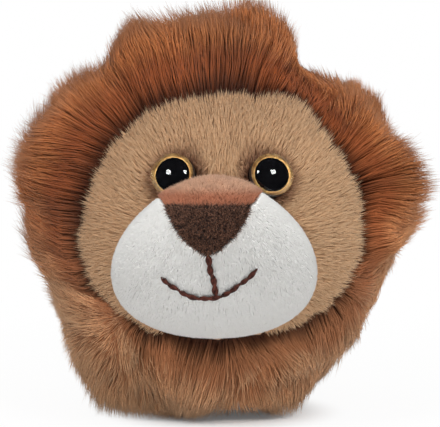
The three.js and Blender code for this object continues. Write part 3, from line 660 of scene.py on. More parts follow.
def plant_roots(tree, given):
    """The roots, each with its root, tip, bend and tone stored."""
    place = node(tree, "GeometryNodeInputPosition").outputs[0]
    tip, bow = stored_vectors(tree, "tip", "bow")
    density = math_node(tree, "MULTIPLY", given["Strands"], stored(tree, "cover"))
    roots = scatter(tree, given["Skin"], density, given["Seed"])
    locks = scatter(tree, given["Skin"], given["Locks"], math_node(tree, "ADD", given["Seed"], 1))
    roots = without_eyes(tree, given, roots, place)
    nearest = node(tree, "GeometryNodeSampleNearest", {"Geometry": locks}).outputs[0]
    lock_tip = shortened(tree, tip, given["Lock Spread"], SEEDS["lock length"])
    lock_end = from_lock(tree, locks, nearest, added(tree, place, lock_tip), "FLOAT_VECTOR")
    lock_tone = from_lock(tree, locks, nearest, random_number(tree, 0.0, 1.0, SEEDS["lock tone"]), "FLOAT")
    own_pull = random_number(tree, LEAST_PULL, 1.0, SEEDS["pull"])
    pull = math_node(tree, "MULTIPLY", given["Lock Pull"], own_pull)
    toward_lock = vector_node(tree, "SUBTRACT", vector_node(tree, "SUBTRACT", lock_end, place), tip)
    gathered = added(tree, tip, scaled(tree, toward_lock, pull))
    cut = shortened(tree, gathered, given["Length Spread"], SEEDS["length"])
    loose_inputs = {0: (-1, -1, -1), 1: (1, 1, 1), "Seed": SEEDS["stray"]}
    loose = node(tree, "FunctionNodeRandomValue", loose_inputs, data_type="FLOAT_VECTOR").outputs[0]
    stray = math_node(tree, "MULTIPLY", vector_node(tree, "LENGTH", tip), given["Stray"])
    final_tip = added(tree, cut, scaled(tree, loose, stray))
    shifted = scaled(tree, vector_node(tree, "SUBTRACT", final_tip, tip), BEND_FOLLOWS)
    # The clump noise below is a painted shade, blended into the fibres' random tone.
    drift_inputs = {"Vector": place, "Scale": given["Clump Shade Scale"], "Detail": 2.0}
    drift = node(tree, "ShaderNodeTexNoise", drift_inputs).outputs[0]
    own_tone = random_number(tree, 0.0, OWN_TONE, SEEDS["tone"])
    tone = math_node(tree, "ADD", own_tone, math_node(tree, "MULTIPLY", lock_tone, 1 - OWN_TONE))
    clump_shade = ramp_node(tree, drift, CLUMP_LOW, CLUMP_HIGH)
    roots = store(tree, roots, "tone", blended_number(tree, tone, clump_shade, given["Clump Shade"]))
    for name, value in (("bend", added(tree, bow, shifted)), ("end", final_tip), ("root", place)):
        roots = store(tree, roots, name, value, "FLOAT_VECTOR")
    return node(tree, "GeometryNodeSetPosition", {"Geometry": roots, "Position": (0, 0, 0)}).outputs[0]


print("random draws with a seed of their own:", len(SEEDS))

# %% [markdown]
# ## Bending the strands
# A fibre leaves its backing upright, bends over and ends in a tip, so its path is a quadratic curve with
# three points. A curve with a thickness would do for one fibre, but a cone whose points are moved onto the
# curve is far lighter for thousands. Two ripples go across the fibre: a slow wave that neighbouring fibres
# share, and a fine frizz of its own.

# %% Bend the strands
OWN_FRIZZ = 40 * MM  # how far the palest fibre's frizz lies from the darkest one's
LIFT = 0.5  # how far up the strand the ripples are read, as a share of its tip
ODD_WAY = (0.31, 0.87, 0.38)  # a direction that no fibre is likely to have


def ripple(tree, given, place, along, name):
    """A smooth shift across the strand that differs from place to place and grows along it."""
    inputs = {"Vector": place, "Scale": given[name + " Scale"], "Detail": 1.0}
    noisy = node(tree, "ShaderNodeTexNoise", inputs).outputs["Color"]
    shift = vector_node(tree, "SUBTRACT", noisy, (0.5, 0.5, 0.5))
    lengthways = vector_node(tree, "PROJECT", shift, stored(tree, "end", "FLOAT_VECTOR"))
    across = vector_node(tree, "SUBTRACT", shift, lengthways)
    return scaled(tree, across, math_node(tree, "MULTIPLY", along, given[name]))


def ripples(tree, given, along, root, end):
    """The wave and the frizz of a strand."""
    lifted = added(tree, root, scaled(tree, end, math_node(tree, "MULTIPLY", along, LIFT)))
    own_shift = scaled(tree, (1.0, 1.0, 1.0), math_node(tree, "MULTIPLY", stored(tree, "tone"), OWN_FRIZZ))
    wave = ripple(tree, given, lifted, along, "Wave")
    return added(tree, wave, ripple(tree, given, added(tree, lifted, own_shift), along, "Frizz"))


def cross_section(tree, given, parts, along, slope):
    """How far a point of the cone lies from the strand's middle line."""
    sideways = vector_node(tree, "NORMALIZE", vector_node(tree, "CROSS_PRODUCT", slope, ODD_WAY))
    across = vector_node(tree, "NORMALIZE", vector_node(tree, "CROSS_PRODUCT", slope, sideways))
    swelling = math_node(tree, "MULTIPLY_ADD", along, given["Fullness"], 1.0)
    thickness = math_node(tree, "MULTIPLY", swelling, math_node(tree, "MULTIPLY", given["Width"], 0.5))
    over = scaled(tree, sideways, math_node(tree, "MULTIPLY", parts["X"], thickness))
    return added(tree, over, scaled(tree, across, math_node(tree, "MULTIPLY", parts["Y"], thickness)))


def bend_strands(tree, given, strands):
    """Moves each upright cone onto the curve from its root to its tip."""
    place = node(tree, "GeometryNodeInputPosition").outputs[0]
    parts = node(tree, "ShaderNodeSeparateXYZ", {0: place}).outputs
    strands = store(tree, strands, "along", parts["Z"])
    along = stored(tree, "along")
    root, end, bend = stored_vectors(tree, "root", "end", "bend")
    left = math_node(tree, "SUBTRACT", 1.0, along)
    bend_share = math_node(tree, "MULTIPLY", math_node(tree, "MULTIPLY", along, left), 2.0)
    end_share = math_node(tree, "MULTIPLY", along, along)
    curve = added(tree, scaled(tree, bend, bend_share), scaled(tree, end, end_share))
    bend_slope = scaled(tree, bend, math_node(tree, "MULTIPLY_ADD", along, -4.0, 2.0))
    slope = added(tree, bend_slope, scaled(tree, end, math_node(tree, "MULTIPLY", along, 2.0)))
    section = cross_section(tree, given, parts, along, slope)
    wavy = ripples(tree, given, along, root, end)
    bent = added(tree, added(tree, curve, wavy), added(tree, root, section))
    bent_parts = node(tree, "ShaderNodeSeparateXYZ", {0: bent}).outputs
    above = math_node(tree, "MAXIMUM", bent_parts["Z"], given["Ground"])
    final_parts = {0: bent_parts["X"], 1: bent_parts["Y"], 2: above}
    final = node(tree, "ShaderNodeCombineXYZ", final_parts).outputs[0]
    return node(tree, "GeometryNodeSetPosition", {"Geometry": strands, "Position": final}).outputs[0]


print("a strand's curve has a root, a bend and an end")

# %% [markdown]
# ## The tree itself
# Every panel has its own numbers, so the tree takes them as named inputs. It ends by turning its instances
# into real geometry and giving them their material, because an export leaves instances out.

# %% Build the pile tree
PILE_INPUTS = {
    "Float": (
        "Strands",
        "Locks",
        "Lock Pull",
        "Lock Spread",
        "Length Spread",
        "Stray",
        "Clump Shade",
        "Clump Shade Scale",
        "Wave",
        "Wave Scale",
        "Frizz",
        "Frizz Scale",
        "Width",
        "Fullness",
        "Ground",
        "Eye Room",
    ),
    "Int": ("Segments", "Seed"),
    "Vector": ("First Eye", "Second Eye"),
    "Material": ("Material",),
}
CONE_SIDES = 3


def realized(tree, points, shape, **turns):
    """A shape on every point, as real geometry."""
    inputs = {"Points": points, "Instance": shape, **turns}
    placed = node(tree, "GeometryNodeInstanceOnPoints", inputs).outputs[0]
    return node(tree, "GeometryNodeRealizeInstances", {"Geometry": placed}).outputs[0]


def end_tree(tree, geometry, material, output):
    """Gives the geometry its material and passes it out of the tree."""
    inputs = {"Geometry": geometry, "Material": material}
    coloured = node(tree, "GeometryNodeSetMaterial", inputs).outputs[0]
    node(tree, "NodeGroupOutput", {output: coloured})


def pile_tree():
    tree = bpy.data.node_groups.new("Pile", "GeometryNodeTree")
    add_socket(tree, "Skin", "Geometry")
    for kind, names in PILE_INPUTS.items():
        for name in names:
            add_socket(tree, name, kind)
    add_socket(tree, "Pile", "Geometry", "OUTPUT")
    given = node(tree, "NodeGroupInput").outputs
    size = {"Radius Top": 0.0, "Radius Bottom": 1.0, "Depth": 1.0}
    cone_inputs = {"Vertices": CONE_SIDES, "Side Segments": given["Segments"], **size}
    cone = node(tree, "GeometryNodeMeshCone", cone_inputs).outputs["Mesh"]
    bent = bend_strands(tree, given, realized(tree, plant_roots(tree, given), cone))
    smooth = node(tree, "GeometryNodeSetShadeSmooth", {"Geometry": bent}).outputs[0]
    end_tree(tree, smooth, given["Material"], "Pile")
    return tree


PILE = pile_tree()
print("pile tree nodes:", len(PILE.nodes))

# %% [markdown]
# ## Growing a panel of pile
# A panel is its knitted backing, half a millimetre thick, and its fibres. The tree's inputs are set by
# their identifiers before the panel is first evaluated. The result becomes a plain mesh, is joined with the
# backing, and then rides on the body and stands for the CAD solid of the same name.

# %% Grow and join
BACKING = 0.5 * MM
KEPT_ATTRIBUTES = ("along", "tone", "shade")


def set_inputs(modifier, values):
    sockets = modifier.node_group.interface.items_tree
    for name, value in values.items():
        modifier[sockets[name].identifier] = value


def join_into(piece, *others):
    with bpy.context.temp_override(active_object=piece, selected_editable_objects=[piece, *others]):
        bpy.ops.object.join()


def drop_attributes(mesh):
    """Removes what the tree stored, apart from what the materials read."""
    extra = [found.name for found in mesh.attributes if not found.is_required and not found.is_internal]
    for name in extra:
        if name not in KEPT_ATTRIBUTES:
            mesh.attributes.remove(mesh.attributes[name])


def give_attribute(mesh, name, values):
    kind, field = ("FLOAT_VECTOR", "vector") if isinstance(values[0], Vector) else ("FLOAT", "value")
    given = mesh.attributes.new(name, kind, "POINT")
    given.data.foreach_set(field, np.array(values, dtype=float).ravel())


def triangles_in(piece):
    return sum(len(face.vertices) - 2 for face in piece.data.polygons)


def cut_out(faces):
    """The part of a skin that has some of its faces: its old point numbers, and its faces in new ones."""
    used = sorted({corner for face in faces for corner in face})
    place = {old: new for new, old in enumerate(used)}
    return used, [[place[corner] for corner in face] for face in faces]


def only_material(mesh, material):
    mesh.materials.clear()
    mesh.materials.append(material)


def applied(piece, modifier):
    """Makes a modifier's result the piece's own mesh."""
    piece.data = plain_mesh(piece)
    piece.modifiers.remove(modifier)


def backed(piece):
    """Gives a skin the thickness of its backing."""
    backing = piece.modifiers.new("Backing", "SOLIDIFY")
    backing.thickness = BACKING
    backing.offset = -1
    applied(piece, backing)
    piece.data.shade_smooth()


def grow(name, points, faces, carried, strands, settings):
    """A panel of pile. Each point carries its tip and bow, as offsets, and how densely it is planted."""
    used, own_faces = cut_out(faces)
    piece = new_piece(name, [points[old] for old in used], own_faces)
    for label, values in carried.items():
        give_attribute(piece.data, label, [values[old] for old in used])
    only_material(piece.data, settings["Material"])
    cover = [carried["cover"][old] for old in used]
    planted = sum(
        face.area * sum(cover[corner] for corner in face.vertices) / len(face.vertices)
        for face in piece.data.polygons
    )
    pile = piece.modifiers.new("Pile", "NODES")
    pile.node_group = PILE
    set_inputs(pile, {**settings, "Strands": strands / planted})
    grown = plain_mesh(piece)
    only_material(grown, settings["Material"])
    piece.modifiers.remove(pile)
    backed(piece)
    fibres = bpy.data.objects.new(name + "_fibres", grown)
    bpy.context.collection.objects.link(fibres)
    for mesh in (grown, piece.data):
        drop_attributes(mesh)
    join_into(piece, fibres)
    piece.data.name = name
    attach(piece, "root")
    return piece


def stand_for(node_name):
    """Hides the CAD node that a stuffed piece replaces."""
    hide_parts(node_name)


print("backing in mm:", BACKING / MM)

# %% [markdown]
# ## Combing the mane
# Long pile isn't straight out like a brush: it was combed away from the face, so each fibre leaves the skin
# outwards and bends back. On the back of the ball it falls downwards. Each tip is put on the surface of the
# CAD fur in that direction, so the tufts of the mane come out where the model has them.

# %% Comb the long pile
FRONT = Vector((0, -1, 0))
DOWN = Vector((0, 0, -1))
LEAN_AT_FACE, LEAN_AT_RING, LEAN_AT_BACK = (math.radians(angle) for angle in (24, 13, 20))
FACE_ANGLE, RING_ANGLE, BACK_ANGLE, FALL_ANGLE = (math.radians(angle) for angle in (52, 92, 125, 160))
TIP_SHARE, BACK_TIP_SHARE, LOW_TIP_SHARE = 1.005, 1.07, 1.03
LOW_DIP, LOW_TILT = 0.03, 0.0012 / MM
DIP_WIDTH = 6 * MM
LEAST_PILE = 6 * MM
HANG_DEPTH = 28 * MM
HANG_SHARE = 0.45
PARTING = 3.4 * MM
PARTING_PUSH = 0.7
PARTING_WIDTH = 4 * MM
SWIRL, BACK_SWIRL = 0.44, 0.2
CROWN_SWIRL_SHARE, LOW_SWIRL_SHARE = 0.45, 0.25
BACK_TURN = (-5 * MM, 20 * MM)  # along Y, where the swirl of the front gives way to that of the back
POLE_TURN = (20 * MM, 32 * MM)  # above or below the ball's centre, where the swirl grows less
LIFT_TURN = (-10 * MM, 20 * MM)
UNDERSIDE = (0.5, 0.8)
BOW_SHARE, BOW_UPRIGHT = 0.5, 0.5
SWIRL_START = Vector((0.4, 2.3, 1.1))
SWIRL_SCALE = 58.0  # swirls to a metre
UPSWEEP = 0.16
COMBINGS = 3
TUFT_GAIN, TUFT_ROUNDS = 0.24, 60
GROUND_CLEARANCE = 0.25 * MM
LEAST_SLOPE = 1e-6


def ease(low, high, value):
    """0 below low and 1 above high, with a smooth turn between them."""
    share = min(1.0, max(0.0, (value - low) / (high - low)))
    return share * share * (3 - 2 * share)


def blend_between(first, second, share):
    return first * (1 - share) + second * share


def along_surface(direction, outwards):
    """A direction laid flat on a surface that faces outwards there, with a length of 1."""
    flat = direction - outwards * direction.dot(outwards)
    return flat.normalized() if flat.length > LEAST_SLOPE else Vector()


def comb_way(point, outwards, from_front):
    """The direction along the skin in which the fibre at a point was combed."""
    backwards = along_surface(-FRONT, outwards)
    falling = along_surface(DOWN, outwards)
    way = blend_between(backwards, falling, ease(BACK_ANGLE, FALL_ANGLE, from_front)).normalized()
    low = ease(0, HANG_DEPTH, BALL.z - point.z)
    beside = point.x - PARTING
    apart = Vector((math.copysign(PARTING_PUSH * math.exp(-abs(beside) / PARTING_WIDTH), beside), 0, 0))
    return blend_between(way, falling, HANG_SHARE * low) + apart * low ** 3


def swirl_at(point, outwards):
    """How far a fibre turns aside with its lock, which is lifted a little beside the face."""
    turn = noise.noise_vector(point * SWIRL_SCALE + SWIRL_START)
    turn *= blend_between(SWIRL, BACK_SWIRL, ease(*BACK_TURN, point.y))
    turn *= blend_between(1.0, CROWN_SWIRL_SHARE, ease(*POLE_TURN, point.z - BALL.z))
    turn *= blend_between(1.0, LOW_SWIRL_SHARE, ease(*POLE_TURN, BALL.z - point.z))
    lifted = UPSWEEP * ease(*LIFT_TURN, point.z - BALL.z) * abs(outwards.x)
    aside = turn - DOWN * lifted
    return aside - outwards * aside.dot(outwards)


def comb_mane(point):
    """The offsets of the tip and the bend of a fibre of long pile that is rooted at a point."""
    outwards = (point - BALL).normalized()
    from_front = math.acos(max(-1.0, min(1.0, outwards.dot(FRONT))))
    lean = blend_between(LEAN_AT_FACE, LEAN_AT_RING, ease(FACE_ANGLE, RING_ANGLE, from_front))
    lean = blend_between(lean, LEAN_AT_BACK, ease(RING_ANGLE, BACK_ANGLE, from_front))
    way, swirl = comb_way(point, outwards, from_front), swirl_at(point, outwards)
    reach_way = (outwards * math.cos(lean) + way * math.sin(lean) + swirl).normalized()
    reach = outermost(fur_tree, BALL, reach_way) or BALL_RADIUS + LEAST_PILE
    share = blend_between(TIP_SHARE, BACK_TIP_SHARE, ease(RING_ANGLE, BACK_ANGLE, from_front))
    dip = LOW_DIP * math.exp(-((point.x - PARTING) / DIP_WIDTH) ** 2) + LOW_TILT * point.x
    share = blend_between(share, LOW_TIP_SHARE - dip, ease(*UNDERSIDE, outwards.dot(DOWN)))
    tip = BALL + reach_way * reach * share - point
    upright = blend_between(tip, outwards * tip.length, BOW_UPRIGHT)
    return tip, (upright - swirl * tip.length) * BOW_SHARE


MANE_SETTINGS = {
    "Locks": 0.05e6,
    "Lock Pull": 0.3,
    "Lock Spread": 0.1,
    "Length Spread": 0.2,
    "Stray": 0.06,
    "Clump Shade": 0.42,
    "Clump Shade Scale": 110.0,
    "Wave": 12 * MM,
    "Wave Scale": 85.0,
    "Frizz": 3 * MM,
    "Frizz Scale": 340.0,
    "Width": 0.18 * MM,
    "Fullness": 2.6,
    "Ground": GROUND_CLEARANCE,
    "Segments": 3,
    "Material": MANE_PILE,
}
BACK_SETTINGS = {"Length Spread": 0.14, "Lock Spread": 0.05, "Width": 0.34 * MM}
OWN_SETTINGS = {"left_back_fur": BACK_SETTINGS, "right_back_fur": BACK_SETTINGS}
FIRST_MANE_SEED, FACE_SEED = 90, 40
MOST_STRANDS = 12000
STRANDS = {"left_back_fur": 8000, "right_back_fur": 8000, "seat_fur": 2000}
mane_faces = [face for face, owner in zip(cover_faces, panel_of_face) if owner != "face_panel"]
combed = [(Vector(), Vector())] * len(cover_points)
for corner in {corner for face in mane_faces for corner in face}:
    combed[corner] = comb_mane(cover_points[corner])
tips, bows = (smoothed_vectors(values, mane_faces, COMBINGS) for values in zip(*combed))
reaches = [(point + tip - BALL).length for point, tip in zip(cover_points, tips)]
broad = smoothed([[reach] for reach in reaches], mane_faces, TUFT_ROUNDS)[:, 0]
tips = [
    tip + (point + tip - BALL) * (TUFT_GAIN * (1 - low / reach))
    for point, tip, reach, low in zip(cover_points, tips, reaches, broad)
]
carried = {"tip": tips, "bow": bows, "cover": [1.0] * len(cover_points)}
for index, panel in enumerate(FUR_NODES):
    faces = [face for face, owner in zip(cover_faces, panel_of_face) if owner == panel]
    settings = {**MANE_SETTINGS, **OWN_SETTINGS.get(panel, {}), "Seed": FIRST_MANE_SEED + 2 * index}
    piece = grow(panel + "_pile", cover_points, faces, carried, STRANDS.get(panel, MOST_STRANDS), settings)
    stand_for(panel)
    print(panel, "triangles:", triangles_in(piece))

# %% [markdown]
# ## Combing the face
# The face's pile is short and was brushed away from the muzzle: up over the forehead, outwards over the
# cheeks and down over the chin, where its tips lie over the roots of the mane. Round each eye the fibres
# part, so the dome stays clear, and none grow under the muzzle.

# %% Comb the short pile
FACE_PILE_LENGTH = 4 * MM
FACE_STAND, EYE_STAND = 0.5, 0.92
EYE_TURN = 0.7
FACE_BOW, FACE_BOW_UPRIGHT = 0.45, 0.6
EYE_PILE_SHARE = 0.62
EYE_ROOM = 4.6 * MM
EYE_COLLAR = 7 * MM
EYE_PART = 10 * MM
MUZZLE_SEAT = 9 * MM
FACE_STRANDS = 27000
CHIN_RISE = 4 * MM
CHIN_HALF_WIDTH = 13 * MM
CHIN_PILE_SHARE = 0.5
CHIN_FADE = 14 * MM
# Painted shade round the eyes: a painted shadow in the pocket round each dome, and painted shade in the
# hollow over its inner corner.
SHADE_RISE, SHADE_INWARDS, SHADE_RADIUS = 5.5 * MM, 2.5 * MM, 5 * MM
SHADE_DEPTH = 0.45
RIM_SHADE = 0.9
RIM_WIDTH = 2.6 * MM
muzzle_low, muzzle_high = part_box("muzzle_cover")
MUZZLE_MIDDLE = (muzzle_low + muzzle_high) / 2
BROW = Vector((0, MUZZLE_MIDDLE.y, BALL.z - 4 * MM))
EYE_SEATS = [BALL + axis * (BALL_RADIUS + COVER_RISE) for axis in EYE_AXES]


def comb_face(point):
    """The offsets of the tip and the bend of a fibre of the face."""
    outwards = (point - BALL).normalized()
    way = along_surface(point - BROW, outwards)
    distance = min((point - seat).length for seat in EYE_SEATS)
    for seat in EYE_SEATS:
        near = 1 - ease(EYE_ROOM, EYE_PART, (point - seat).length)
        way = blend_between(way, along_surface(point - seat, outwards), EYE_TURN * near).normalized()
    collar = 1 - ease(EYE_ROOM, EYE_COLLAR, distance)
    stand = blend_between(FACE_STAND, EYE_STAND, collar)
    length = FACE_PILE_LENGTH * blend_between(1.0, EYE_PILE_SHARE, collar)
    length *= blend_between(CHIN_PILE_SHARE, 1.0, ease(muzzle_low.z, muzzle_low.z + CHIN_FADE, point.z))
    tip = (outwards * stand + way * math.sqrt(1 - stand ** 2)) * length
    return tip, blend_between(tip * 0.5, outwards * length * FACE_BOW, FACE_BOW_UPRIGHT)


def shade_at(point):
    """The painted shade on the pile: a painted shadow in the pocket round each eye, and painted shade in the
    hollow over the eye's inner corner.
    """
    depth = 0.0
    for seat in EYE_SEATS:
        hollow = seat + Vector((-math.copysign(SHADE_INWARDS, seat.x), 0, SHADE_RISE))
        depth = max(depth, 1 - ease(0, SHADE_RADIUS, (point - hollow).length))
    rim = 1 - ease(EYE_ROOM, EYE_ROOM + RIM_WIDTH, min((point - seat).length for seat in EYE_SEATS))
    return max(depth * SHADE_DEPTH, rim * RIM_SHADE)


def grows_here(point):
    """0 under the muzzle and its chin, and 1 elsewhere."""
    if point.z < muzzle_low.z + CHIN_RISE and abs(point.x - MUZZLE_MIDDLE.x) < CHIN_HALF_WIDTH:
        return 0.0
    return 0.0 if muzzle_tree.ray_cast(point, (point - BALL).normalized(), MUZZLE_SEAT)[0] else 1.0


face_faces = [face for face, owner in zip(cover_faces, panel_of_face) if owner == "face_panel"]
tips, bows = ([Vector()] * len(cover_points) for _ in range(2))
cover, shade = [1.0] * len(cover_points), [0.0] * len(cover_points)
for corner in {corner for face in face_faces for corner in face}:
    point = cover_points[corner]
    tips[corner], bows[corner] = comb_face(point)
    cover[corner], shade[corner] = grows_here(point), shade_at(point)
FACE_SETTINGS = {
    "Locks": 0.3e6,
    "Lock Pull": 0.06,
    "Lock Spread": 0.1,
    "Length Spread": 0.25,
    "Stray": 0.17,
    "Clump Shade": 0.4,
    "Clump Shade Scale": 200.0,
    "Wave": 1.2 * MM,
    "Wave Scale": 160.0,
    "Frizz": 0.15 * MM,
    "Frizz Scale": 1300.0,
    "Width": 0.163 * MM,
    "Fullness": 1.4,
    "Ground": GROUND_CLEARANCE,
    "Segments": 2,
    "Seed": FACE_SEED,
    "First Eye": EYE_SEATS[0],
    "Second Eye": EYE_SEATS[1],
    "Eye Room": EYE_ROOM,
    "Material": FACE_PILE,
}
carried = {"tip": tips, "bow": bows, "cover": cover, "shade": shade}
face_piece = grow("face_panel_pile", cover_points, face_faces, carried, FACE_STRANDS, FACE_SETTINGS)
stand_for("face_panel")
print("face triangles:", triangles_in(face_piece))

# %% [markdown]
# ## The muzzle's cover
# The muzzle is a padded oval with a velvety pile, and the bridge and nose are panels sewn into it. As with
# the ball, one fine skin is laid a pile's height under the CAD surface, smoothed, inflated with its seams
# held, and then cut into its three panels, so that the seams sink and the panels swell between them.

# %% Make the muzzle's skin
MUZZLE_PILE_HEIGHT = 0.9 * MM
MUZZLE_SWELL = 0.7 * MM
MUZZLE_FOOT = 0.8 * MM
MUZZLE_SMOOTHINGS = 6
MUZZLE_LOOK = 0.03
widest = max(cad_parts["muzzle_cover"].data.vertices, key=lambda vertex: vertex.co.x).co
MUZZLE_CENTRE = Vector((MUZZLE_MIDDLE.x, widest.y, MUZZLE_MIDDLE.z))
half_sizes = (muzzle_high - muzzle_low) / 2
half_sizes.y = MUZZLE_CENTRE.y - muzzle_low.y
directions, sphere_faces = fine_sphere(SKIN_SUBDIVISIONS)
muzzle_points, reached = [], []
for direction in directions:
    aimed = (direction * half_sizes).normalized()
    reach = outermost(muzzle_tree, MUZZLE_CENTRE, aimed, MUZZLE_LOOK)
    point = MUZZLE_CENTRE + aimed * (reach - MUZZLE_PILE_HEIGHT)
    reached.append(reach > 0 and (point - BALL).length > BALL_RADIUS + MUZZLE_FOOT)
    muzzle_points.append(point)
muzzle_faces = [face for face in sphere_faces if all(reached[corner] for corner in face)]
used, muzzle_faces = cut_out(muzzle_faces)
muzzle_points = smoothed_vectors([muzzle_points[old] for old in used], muzzle_faces, MUZZLE_SMOOTHINGS)
print("muzzle skin faces:", len(muzzle_faces))

# %% [markdown]
# ## Reading the stitches
# The mouth is hand embroidery. The CAD thread gives its path: its points are gathered into slices across
# the mouth, or down the lip, and the middle of each slice is a point of the thread's centreline.

# %% Find the threads' centrelines
SMILE_SLICES, LIP_SLICES = 28, 12


def middle_of(points):
    low = Vector([min(point[axis] for point in points) for axis in range(3)])
    high = Vector([max(point[axis] for point in points) for axis in range(3)])
    return (low + high) / 2


def centreline(name, axis, slices):
    """The middle of a CAD thread in slices along an axis."""
    points = [vertex.co.copy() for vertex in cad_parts[name].data.vertices]
    low, high = min(point[axis] for point in points), max(point[axis] for point in points)
    step = (high - low) / slices
    edges = [low + index * step for index in range(slices)]
    groups = [[point for point in points if edge <= point[axis] <= edge + step] for edge in edges]
    return [middle_of(group) for group in groups if group]


SMILE_LINE = centreline("smile_stitching", 0, SMILE_SLICES)
LIP_LINE = centreline("lip_stitching", 2, LIP_SLICES)
THREAD_POINTS = SMILE_LINE + LIP_LINE
print("centreline points:", len(SMILE_LINE), len(LIP_LINE))

# %% [markdown]
# ## The muzzle swells
# The stuffing pushes the muzzle's panels out, while the seams round the nose and the stitches of the mouth
# hold it in. Its mesh is then made twice as fine, because its panels are small and their edges are in plain
# sight.

# %% Inflate the muzzle
THREAD_ROOM = 0.55 * MM
THREAD_HOLD = 2 * THREAD_ROOM


def nearest_thread(point):
    return min((point - other).length for other in THREAD_POINTS)


def muzzle_panels(points, faces):
    middles = [sum((points[corner] for corner in face), Vector()) / len(face) for face in faces]
    return [owner_near(muzzle_tree, muzzle_owners, middle) for middle in middles]


def rim_of(faces):
    """The points on the open edge of a skin."""
    uses = {}
    for face in faces:
        for first, second in zip(face, face[1:] + face[:1]):
            edge = (min(first, second), max(first, second))
            uses[edge] = uses.get(edge, 0) + 1
    return {corner for edge, count in uses.items() if count == 1 for corner in edge}


rim = rim_of(muzzle_faces)
panels = muzzle_panels(muzzle_points, muzzle_faces)
panels_at = owners_at(len(muzzle_points), muzzle_faces, panels)
held = [
    index in rim or len(panels_at[index]) > 1 or nearest_thread(point) < THREAD_HOLD
    for index, point in enumerate(muzzle_points)
]
muzzle_points = inflate(muzzle_points, muzzle_faces, held, MUZZLE_SWELL)
grid = bmesh.new()
corners = [grid.verts.new(point) for point in muzzle_points]
for face in muzzle_faces:
    grid.faces.new([corners[corner] for corner in face])
bmesh.ops.subdivide_edges(grid, edges=grid.edges, cuts=1, use_grid_fill=True)
bmesh.ops.triangulate(grid, faces=grid.faces)
grid.verts.index_update()
grid.normal_update()
muzzle_points = [vertex.co.copy() for vertex in grid.verts]
muzzle_normals = [vertex.normal.copy() for vertex in grid.verts]
muzzle_faces = [[vertex.index for vertex in face.verts] for face in grid.faces]
grid.free()
panels = muzzle_panels(muzzle_points, muzzle_faces)
print("fine muzzle faces:", len(muzzle_faces))

# %% [markdown]
# ## The muzzle's pile
# Velvety pile is only a millimetre high and lies down in one direction. It is planted thickly with the same
# tree, but not where the threads press it down. The bridge's pile was brushed upwards, and the nose's is
# curlier and a little longer.

# %% Plant the muzzle's pile
FIRST_MUZZLE_SEED = 60
MUZZLE_SETTINGS = {
    "Locks": 0.8e6,
    "Lock Pull": 0.1,
    "Lock Spread": 0.1,
    "Length Spread": 0.15,
    "Clump Shade": 0.3,
    "Clump Shade Scale": 300.0,
    "Wave": 0.1 * MM,
    "Wave Scale": 300.0,
    "Frizz": 0.0,
    "Frizz Scale": 1.0,
    "Fullness": 2.2,
    "Ground": GROUND_CLEARANCE,
    "Segments": 1,
}
BRIDGE_FUZZ = {"Locks": 1.6e6, "Lock Pull": 0.5, "Length Spread": 0.4}
NOSE_LOCKS = {"Locks": 1.1e6, "Lock Pull": 0.7, "Length Spread": 0.45}
NOSE_CURLS = {**NOSE_LOCKS, "Wave": 0.6 * MM, "Wave Scale": 1500.0}
MUZZLE_PANELS = {
    "muzzle_cover": {
        "strands": 46000,
        "slot": "muzzle_plush",
        "height": 1.0,
        "lean": 1.5,
        "own": {"Width": 0.38 * MM, "Stray": 0.06, "Material": MUZZLE_PILE},
    },
    "nose_bridge": {
        "strands": 14000,
        "slot": "bridge_plush",
        "height": 1.5,
        "lean": 0.35,
        "own": {**BRIDGE_FUZZ, "Width": 0.24 * MM, "Stray": 0.35, "Material": BRIDGE_PILE},
    },
    "nose_patch": {
        "strands": 5000,
        "slot": "nose_plush",
        "height": 1.6,
        "lean": 0.3,
        "own": {**NOSE_CURLS, "Width": 0.2 * MM, "Stray": 0.8, "Material": NOSE_PILE},
    },
}
COMB_START = 32 * MM  # how far over the muzzle's middle the point lies that its pile is combed away from
BRIDGE_FAN = 0.09 / MM
BARE_THREAD, FULL_PILE = 0.7 * THREAD_ROOM, 1.3 * THREAD_ROOM
NAP_UPRIGHT, NAP_LEANING = 0.7, 0.3  # the bend's share of the normal, and of the way the pile leans


def muzzle_way(point, normal):
    return along_surface(point - MUZZLE_CENTRE + DOWN * COMB_START, normal)


def bridge_way(point, normal):
    return along_surface(Vector((BRIDGE_FAN * (point.x - MUZZLE_CENTRE.x), 0, 1)), normal)


cover = [ease(BARE_THREAD, FULL_PILE, nearest_thread(point)) for point in muzzle_points]
for index, (panel, nap) in enumerate(MUZZLE_PANELS.items()):
    faces = [face for face, owner in zip(muzzle_faces, panels) if owner == panel]
    settings = {**MUZZLE_SETTINGS, **nap["own"], "Seed": FIRST_MUZZLE_SEED + 2 * index}
    tall, lean = MUZZLE_PILE_HEIGHT * nap["height"], nap["lean"]
    way_at = bridge_way if panel == "nose_bridge" else muzzle_way
    brushed = [way_at(point, normal) for point, normal in zip(muzzle_points, muzzle_normals)]
    tips = [(normal + way * lean) * tall for normal, way in zip(muzzle_normals, brushed)]
    bows = [
        (normal * NAP_UPRIGHT + way * lean * NAP_LEANING) * tall
        for normal, way in zip(muzzle_normals, brushed)
    ]
    carried = {"tip": tips, "bow": bows, "cover": cover}
    piece = grow(panel + "_pile", muzzle_points, faces, carried, nap["strands"], settings)
    stand_for(panel)
    print(panel, "triangles:", triangles_in(piece))

# %% [markdown]
# ## The stitches
# The mouth is sewn with a thick thread of two plies: five stitches for the smile and two for the lip. A
# curve with a round bevel would look like wire, so one stitch is modelled, two plies twisted round each
# other that dive into the pile at both ends, and Geometry Nodes lay it along the centreline.

# %% Model one stitch
THREAD_RADIUS = 0.6 * MM
PLY_SHARES = {"radius": 0.56, "off": 0.48, "turns": 1.1, "arch": 0.35, "dive": 1.1, "tip": 0.35}
PLY_RINGS = 12
PLY_SIDES = 8
PLIES = 2


